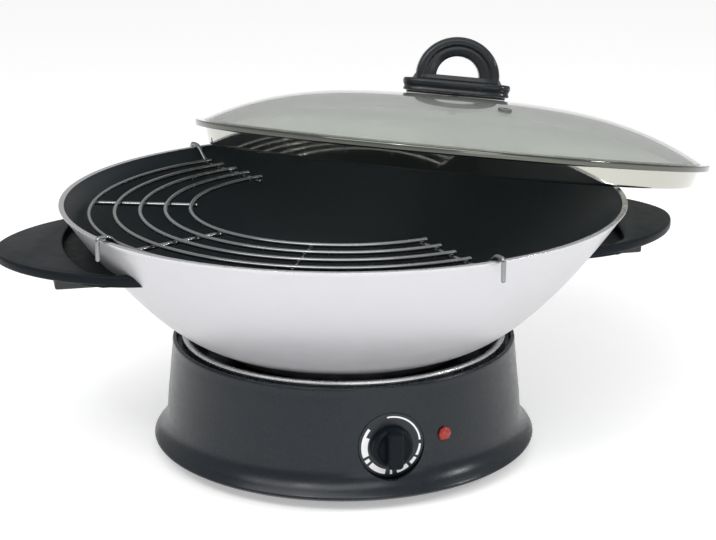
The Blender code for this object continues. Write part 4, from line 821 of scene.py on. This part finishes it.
# ---------------------------------------------------------------- pan
def pan_curve(bottom_radius, top_radius, low, high, share):
    return (
        bottom_radius + (top_radius - bottom_radius) * share,
        low + (high - low) * share**PAN_CURVE_POWER,
    )


def pan_outside(share, clearance=0.0):
    return pan_curve(PAN_BOTTOM_RADIUS + clearance, RIM_RADIUS + clearance, PAN_BOTTOM, RIM_HEIGHT, share)


def bowl():
    steps = 40
    shares = [step / steps for step in range(steps)]
    outside = [pan_outside(share) for share in shares]
    inner_low = PAN_BOTTOM + PAN_FLOOR_THICKNESS
    inner_top = RIM_RADIUS - PAN_WALL
    inside = [
        pan_curve(PAN_BOTTOM_RADIUS - PAN_WALL, inner_top, inner_low, RIM_HEIGHT, share) for share in shares
    ]
    recess = PAN_BOTTOM - DISC_PROUD + DISC_THICKNESS + GAP
    rim = rounded(
        [
            (RIM_RADIUS, RIM_HEIGHT - RIM_BAND, 0),
            (RIM_RADIUS, RIM_HEIGHT, RIM_ROUND),
            (inner_top, RIM_HEIGHT, RIM_ROUND),
            (inner_top - RIM_BAND / 2, RIM_HEIGHT - RIM_BAND, 0),
        ],
        closed=False,
    )
    start = [(0, recess), (DISC_RADIUS + GAP, recess), (DISC_RADIUS + GAP, PAN_BOTTOM)]
    outline = start + outside + rim + inside[::-1] + [(0, inner_low)]
    rim_start = len(start) + len(outside)
    rim_end = rim_start + len(rim) - 2

    def slots(index):
        if index < rim_start:
            return 0
        return 1 if index < rim_end else 2

    pan = lathe("bowl", outline, [satin_silver, bare_rim, nonstick], slots=slots)
    stands_for(pan, "pan", "wok_pan")
    low = PAN_BOTTOM - DISC_PROUD
    top = low + DISC_THICKNESS
    corners = [(0, low, 0), (DISC_RADIUS, low, 0.0004), (DISC_RADIUS, top, 0.0004), (0, top, 0)]
    disc = rounded(corners, closed=False)
    stands_for(lathe("bowl_disc", disc, aluminium, PLAIN_STEPS), "pan", "pan_base_disc")


def wall_plug(clearance):
    shares = [step / 20 for step in range(21)]
    outline = [(0, PAN_BOTTOM)] + [pan_outside(share, clearance) for share in shares] + [(0, RIM_HEIGHT)]
    return lathe("wall", outline, phenolic, TURN_STEPS)


def full_curve(turn, half_length, half_width, fullness):
    along, across = math.cos(turn), math.sin(turn)
    return (
        math.copysign(abs(along) ** (2 / fullness), along) * half_length,
        math.copysign(abs(across) ** (2 / fullness), across) * half_width,
    )


def grip_edge(inset=0.0, steps=72):
    edge = []
    reach = HANDLE_REACH - HANDLE_CENTRE - inset
    for step in range(steps + 1):
        turn = HALF * step / steps - QUARTER
        x, y = full_curve(turn, reach, HANDLE_HALF_WIDTH - inset, HANDLE_FULLNESS)
        edge.append((HANDLE_CENTRE + x, y))
    return edge


def grip(name, turn):
    """The D-shaped grip: rounded all round, with deeper roots and a finger gap at the wall."""
    inner = GRIP_INSIDE
    root = HANDLE_HALF_WIDTH - HANDLE_ROOT_WIDTH
    turns = [FINGER_HALF_ANGLE * (1 - 2 * step / 24) for step in range(25)]
    slot = [(GRIP_INNER * math.cos(t), GRIP_INNER * math.sin(t)) for t in turns]
    plan = (
        [(inner, -HANDLE_HALF_WIDTH)]
        + grip_edge()
        + [(inner, HANDLE_HALF_WIDTH), (inner, root), (FINGER_END, root)]
        + slot
        + [(FINGER_END, -root), (inner, -root)]
    )
    low = HANDLE_TOP - HANDLE_THICKNESS
    body = bevel(prism("grip_" + name, plan, low, HANDLE_TOP, phenolic), 0.0016, 4)
    for side in (-1, 1):
        arc = [(x, y) for x, y in grip_edge(ROOT_INSET) if y * side > root + 0.0010]
        arc.sort(key=lambda point: abs(point[1]), reverse=True)
        near = side * (root + 0.0006)
        pad = [(inner, arc[0][1])] + arc + [(arc[-1][0], near), (inner, near)]
        number = 1 if side < 0 else 2
        foot = prism(f"grip_root_{name}_{number}", pad, low - HANDLE_ROOT_DROP, low + OVERRUN / 4, phenolic)
        carve(foot, wall_plug(GAP))
        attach(placed(foot, Matrix.Rotation(turn, 4, "Z")), "pan")
    carve(body, wall_plug(GAP))
    placed(body, Matrix.Rotation(turn, 4, "Z"))
    return stands_for(body, "pan", "handle_grip_" + name)


# ---------------------------------------------------------------- rack
def rack():
    mesh = bmesh.new()
    for number in range(RACK_ARCS):
        radius = RACK_INNER_RADIUS + RACK_SPACING * number
        extra = RACK_OVERHANG / radius
        first, last = CROSS_ANGLES[0] - extra, CROSS_ANGLES[-1] + extra
        steps = round((last - first) * radius / 0.005)
        path = []
        for step in range(steps + 1):
            angle = first + (last - first) * step / steps
            path.append((radius * math.cos(angle), radius * math.sin(angle), RACK_HEIGHT))
        add_tube(mesh, path, WIRE_RADIUS, WIRE_SIDES)
    height = RACK_HEIGHT - 2 * WIRE_RADIUS + CROSS_SINK
    over = RIM_HEIGHT + GAP + WIRE_RADIUS
    outer = RACK_INNER_RADIUS + RACK_SPACING * (RACK_ARCS - 1)
    rise_end = RIM_RADIUS - PAN_WALL - HOOK_BEND / 2
    outside = RIM_RADIUS + GAP + WIRE_RADIUS + HOOK_BEND / 4
    for angle, hooked in zip(CROSS_ANGLES, CROSS_HOOKED):
        start = RACK_INNER_RADIUS - RACK_OVERHANG
        if hooked:
            line = rounded(
                [
                    (start, height, 0),
                    (outer + WIRE_RADIUS, height, 0.003),
                    (rise_end, over, 0.003),
                    (outside, over, 0.0022),
                    (outside, over - HOOK_DROP, 0),
                ],
                closed=False,
                steps=6,
            )
        else:
            line = [(start, height), (outer + RACK_OVERHANG, height)]
        turn = Matrix.Rotation(angle, 3, "Z")
        add_tube(mesh, [turn @ Vector((x, 0, z)) for x, z in line], WIRE_RADIUS, WIRE_SIDES)
    stands_for(finished("rack_wires", mesh, wire_steel), "rack", "draining_rack")


# ---------------------------------------------------------------- lid
def lid_place():
    chord = RIM_RADIUS * math.sin(LID_REST_HALF_ANGLE)
    distance = RIM_RADIUS * math.cos(LID_REST_HALF_ANGLE)
    skirt = math.sqrt(LID_SKIRT_RADIUS**2 - chord**2)
    return (
        Matrix.Rotation(LID_HEADING, 4, "Z")
        @ Matrix.Translation((distance, 0, RIM_HEIGHT + LID_REST_GAP))
        @ Matrix.Rotation(LID_LEAN, 4, "Y")
        @ Matrix.Translation((skirt, 0, LID_SKIRT_DEPTH))
        @ Matrix.Rotation(LID_SPIN - LID_HEADING, 4, "Z")
    )


seat = lid_place()


def glass_top(radius):
    edge = GLASS_SEAT + GAP + GLASS_THICKNESS
    return edge + GLASS_RISE * (1 - (radius / GLASS_RADIUS) ** GLASS_POWER)


def lid_shell():
    inner = LID_SKIRT_RADIUS - LID_SKIRT_WALL
    flared = LID_SKIRT_RADIUS + LID_SKIRT_FLARE
    pocket = GLASS_RADIUS + GAP
    bottom = -LID_SKIRT_DEPTH
    side = rounded(
        [
            (pocket, LID_FLANGE, 0),
            (LID_RIM_RADIUS - 0.0003, LID_FLANGE, 0.0006),
            (LID_RIM_RADIUS, LID_FLANGE - 0.0010, 0.0004),
        ],
        closed=False,
        steps=6,
    )
    edge = rounded(
        [
            (LID_RIM_RADIUS, LID_FLANGE - 0.0012, 0),
            (LID_RIM_RADIUS - 0.0004, 0.0004, 0.0006),
            (flared + 0.0012, 0, 0),
        ],
        closed=False,
        steps=6,
    )
    skirt = rounded(
        [
            (flared, -0.0002, 0),
            (LID_SKIRT_RADIUS, bottom, 0.0022),
            (inner - 0.0030, bottom, 0),
            (inner - 0.0030, bottom + LID_SKIRT_WALL, 0),
            (inner, bottom + LID_SKIRT_WALL, 0.0018),
            (flared - LID_SKIRT_WALL - 0.0006, GLASS_SEAT, 0),
            (pocket, GLASS_SEAT, 0),
        ],
        closed=False,
        steps=8,
    )
    corner = len(side) - 3
    end = len(side) + len(edge) - 1

    # The flange's rounded top corner and outer side take the painted dark reflection finishes; the flat top and
    # the skirt take plain rim steel.
    def slots(index):
        if 0 < index < corner:
            return 2
        return 1 if corner <= index < end else 0

    band = lathe("rim_band", side + edge + skirt, [rim_steel, rim_edge_dark_reflection, rim_corner_dark_reflection], LID_STEPS, slots=slots)
    stands_for(placed(band, seat), "lid", "lid_rim")
    count = 40
    reach = GLASS_RADIUS - GLASS_HOLE_RADIUS
    radii = [GLASS_HOLE_RADIUS + reach * math.sin(QUARTER * step / count) for step in range(count + 1)]
    outside = [(radius, glass_top(radius)) for radius in radii]
    inside = [(radius, height - GLASS_THICKNESS) for radius, height in outside]
    dome = lathe("glass_dome", outside + inside[::-1], lid_glass_skin, LID_STEPS)
    low, high = -2 * GLASS_THICKNESS, GLASS_THICKNESS
    plug = [(0, low), (VENT_HOLE_RADIUS, low), (VENT_HOLE_RADIUS, high), (0, high)]
    hole = placed(lathe("hole", plug, lid_glass_skin, SMALL_STEPS), vent_place())
    carve(dome, hole)
    stands_for(placed(dome, seat), "lid", "lid_glass")


def vent_place():
    radius = math.hypot(VENT_X, VENT_Y)
    angle = math.atan2(VENT_Y, VENT_X)
    slope = GLASS_RISE * GLASS_POWER / GLASS_RADIUS * (radius / GLASS_RADIUS) ** (GLASS_POWER - 1)
    tilt = Matrix.Rotation(angle, 4, "Z") @ Matrix.Rotation(math.atan(slope), 4, "Y")
    return Matrix.Translation((VENT_X, VENT_Y, glass_top(radius))) @ tilt


def vent():
    under = -GLASS_THICKNESS - GAP
    outline = rounded(
        [
            (VENT_BORE, under - VENT_FLANGE, 0.0003),
            (VENT_RADIUS, under - VENT_FLANGE, 0.0005),
            (VENT_RADIUS, under, 0),
            (VENT_NECK_RADIUS, under, 0),
            (VENT_NECK_RADIUS, GAP, 0),
            (VENT_RADIUS, GAP, 0),
            (VENT_RADIUS, GAP + VENT_FLANGE, 0.0007),
            (VENT_BORE, GAP + VENT_FLANGE, 0.0004),
        ]
    )
    eyelet = lathe("vent_eyelet", outline, vent_steel, SMALL_STEPS)
    stands_for(placed(eyelet, seat @ vent_place()), "lid", "steam_vent")


def oval_ring(mesh, length, width, height, steps=96):
    plan = [full_curve(FULL * s / steps, length / 2, width / 2, KNOB_PLATE_FULLNESS) for s in range(steps)]
    return [mesh.verts.new((x, y, height)) for x, y in plan]


def stack(name, levels, finish):
    """An oval piece from (length, width, height) levels, from the bottom up."""
    mesh = bmesh.new()
    rings = [oval_ring(mesh, *level) for level in levels]
    loft(mesh, rings)
    return finished(name, mesh, finish)


def arch(low, top):
    """The arch: a strap swept over the plate, thick at its feet, with a groove down each face."""
    mesh = bmesh.new()
    rows = []
    steps = 56
    half = ARCH_WIDTH / 2
    for step in range(steps + 1):
        turn = HALF * step / steps
        c, s = math.cos(turn), math.sin(turn)
        outer = Vector((ARCH_LENGTH / 2 * c, 0, top + ARCH_HEIGHT * s))
        inner = Vector((ARCH_OPENING_LENGTH / 2 * c, 0, top + ARCH_OPENING_HEIGHT * s))
        if step in (0, steps):
            outer.z = inner.z = low
        across = inner - outer
        thick = across.length
        lane = across.normalized()
        wide = half * (1.0 - 0.10 * s)
        section = rounded(
            [
                (0, -wide, thick * 0.34),
                (0, wide, thick * 0.34),
                (thick * 0.40, wide, 0.0010),
                (thick * 0.50, wide - 0.0016, 0.0010),
                (thick * 0.62, wide - 0.0012, 0.0010),
                (thick, wide - 0.0030, 0.0018),
                (thick, -wide + 0.0030, 0.0018),
                (thick * 0.62, -wide + 0.0012, 0.0010),
                (thick * 0.50, -wide + 0.0016, 0.0010),
                (thick * 0.40, -wide, 0.0010),
            ],
            steps=5,
        )
        rows.append([mesh.verts.new(outer + lane * x + Vector((0, y, 0))) for x, y in section])
    loft(mesh, rows)
    return finished("arch", mesh, gloss_phenolic)


def lid_handle():
    gasket_low = glass_top(GLASS_HOLE_RADIUS) + GAP
    low = gasket_low + GASKET_THICKNESS + GAP
    step = low + KNOB_PLATE_THICKNESS
    top = step + KNOB_TIER_HEIGHT
    length, width = KNOB_PLATE_LENGTH, KNOB_PLATE_WIDTH
    tier_length, tier_width = KNOB_TIER_LENGTH, KNOB_TIER_WIDTH
    waist = 0.0012
    plate = stack(
        "handle_arch",
        [
            (length - 0.0030, width - 0.0030, low),
            (length - 0.0012, width - 0.0012, low + 0.0004),
            (length - waist, width - waist, low + 0.0016),
            (length - 2 * waist, width - 2 * waist, low + 0.0030),
            (length - waist, width - waist, low + 0.0042),
            (length, width, low + 0.0056),
            (length, width, step - 0.0016),
            (length - 0.0008, width - 0.0008, step - 0.0006),
            (length - 0.0028, width - 0.0028, step),
            (tier_length + 0.0020, tier_width + 0.0020, step + 0.0002),
            (tier_length + 0.0004, tier_width + 0.0004, step + 0.0010),
            (tier_length - 0.0012, tier_width - 0.0010, top - 0.0010),
            (tier_length - 0.0030, tier_width - 0.0028, top),
        ],
        gloss_phenolic,
    )
    carve(plate, arch(step - 0.002, top - 0.0004), operation="UNION")
    stands_for(placed(plate, seat), "lid", "lid_knob")
    inset = 2 * GASKET_INSET
    pad = stack(
        "handle_pad",
        [
            (length - inset - 0.0008, width - inset - 0.0008, gasket_low - 0.0002),
            (length - inset, width - inset, gasket_low + 0.0004),
            (length - inset, width - inset, gasket_low + 0.0009),
            (length - inset - 0.0006, width - inset - 0.0006, gasket_low + GASKET_THICKNESS + 0.0002),
        ],
        rubber,
    )
    stands_for(placed(pad, seat), "lid", "lid_knob_gasket")


# ---------------------------------------------------------------- what stays from the CAD
KEPT = {
    enamel: ("bottom_cover",),
    # Painted shade: the brackets are darkened so that the handle slots read as lying in shadow.
    slot_painted_shade: ("handle_bracket_left", "handle_bracket_right"),
    zinc: (
        "cover_screw_1", "cover_screw_2", "cover_screw_3", "cover_screw_4", "heating_element", "element_clip_1",
        "element_clip_2", "thermostat_screw_1", "thermostat_screw_2", "thermostat_shaft", "handle_screw_left_1",
        "handle_screw_left_2", "handle_screw_right_1", "handle_screw_right_2", "lid_knob_washer",
        "lid_knob_screw",
    ),
    ceramic: (
        "hotplate_post_1", "hotplate_post_2", "hotplate_post_3", "thermostat_body", "lamp_holder",
        "terminal_block",
    ),
    aluminium: ("capillary_tube", "thermal_fuse"),
    insulation: ("supply_lead", "neutral_lead", "element_lead", "switched_lead"),
    grey_plastic: ("handle_socket_left", "handle_socket_right"),
}


def keep_nodes():
    for finish, names in KEPT.items():
        for name in names:
            nodes[name].data.materials.clear()
            nodes[name].data.materials.append(finish)


# ---------------------------------------------------------------- studio
def lamp_panel(name, place, target, size, power):
    light = bpy.data.lights.new(name, "AREA")
    light.shape = "RECTANGLE"
    light.size, light.size_y = size
    light.energy = power
    obj = bpy.data.objects.new(name, light)
    bpy.context.scene.collection.objects.link(obj)
    obj.location = place
    obj.rotation_euler = (Vector(target) - Vector(place)).to_track_quat("-Z", "Y").to_euler()
    return obj


def studio():
    mesh = bmesh.new()
    bmesh.ops.create_grid(mesh, x_segments=1, y_segments=1, size=20)
    data = bpy.data.meshes.new("floor")
    mesh.to_mesh(data)
    mesh.free()
    floor = bpy.data.objects.new("floor", data)
    bpy.context.scene.collection.objects.link(floor)
    paper = bpy.data.materials.new("paper")
    paper.use_nodes = True
    tree = paper.node_tree
    shader = tree.nodes["Principled BSDF"]
    shader.inputs["Base Color"].default_value = (0.92, 0.92, 0.92, 1)
    shader.inputs["Roughness"].default_value = 0.9
    shader.inputs["Specular IOR Level"].default_value = 0.1
    shader.inputs["Emission Color"].default_value = (1, 1, 1, 1)
    path = tree.nodes.new("ShaderNodeLightPath")
    seen = tree.nodes.new("ShaderNodeMath")
    seen.operation = "ADD"
    tree.links.new(path.outputs["Is Camera Ray"], seen.inputs[0])
    tree.links.new(path.outputs["Is Glossy Ray"], seen.inputs[1])
    more = tree.nodes.new("ShaderNodeMath")
    more.operation = "ADD"
    more.use_clamp = True
    tree.links.new(seen.outputs[0], more.inputs[0])
    tree.links.new(path.outputs["Is Transmission Ray"], more.inputs[1])
    glow = tree.nodes.new("ShaderNodeMath")
    glow.operation = "MULTIPLY"
    glow.inputs[1].default_value = PAPER_GLOW
    tree.links.new(more.outputs[0], glow.inputs[0])
    tree.links.new(glow.outputs[0], shader.inputs["Emission Strength"])
    data.materials.append(paper)

    world = bpy.data.worlds.new("studio")
    bpy.context.scene.world = world
    world.use_nodes = True
    tree = world.node_tree
    sky = tree.nodes["Background"]
    sky.inputs["Color"].default_value = (1, 1, 1, 1)
    heading = tree.nodes.new("ShaderNodeTexCoord")
    apart = tree.nodes.new("ShaderNodeSeparateXYZ")
    tree.links.new(heading.outputs["Generated"], apart.inputs[0])
    level = tree.nodes.new("ShaderNodeMapRange")
    level.interpolation_type = "SMOOTHSTEP"
    level.inputs["From Min"].default_value = 0.02
    level.inputs["From Max"].default_value = 0.55
    level.inputs["To Min"].default_value = HORIZON_LEVEL
    level.inputs["To Max"].default_value = ZENITH_LEVEL
    tree.links.new(apart.outputs["Z"], level.inputs["Value"])
    tree.links.new(level.outputs["Result"], sky.inputs["Strength"])

    for lamp_values in LAMPS:
        lamp_panel(*lamp_values)

    camera = bpy.data.cameras.new("camera")
    camera.lens = CAMERA_LENS
    camera.sensor_width = 36
    camera.clip_start = 0.01
    eye = bpy.data.objects.new("camera", camera)
    bpy.context.scene.collection.objects.link(eye)
    eye.location = CAMERA_PLACE
    eye.rotation_euler = (CAMERA_PITCH, 0, CAMERA_HEADING)
    bpy.context.scene.camera = eye
    bpy.context.scene.view_settings.view_transform = "Standard"


casing()
trim()
dish()
hot_plate()
feet()
controls()
lamp()
gland()
bowl()
grip("right", 0)
grip("left", HALF)
rack()
lid_shell()
vent()
lid_handle()
keep_nodes()
studio()
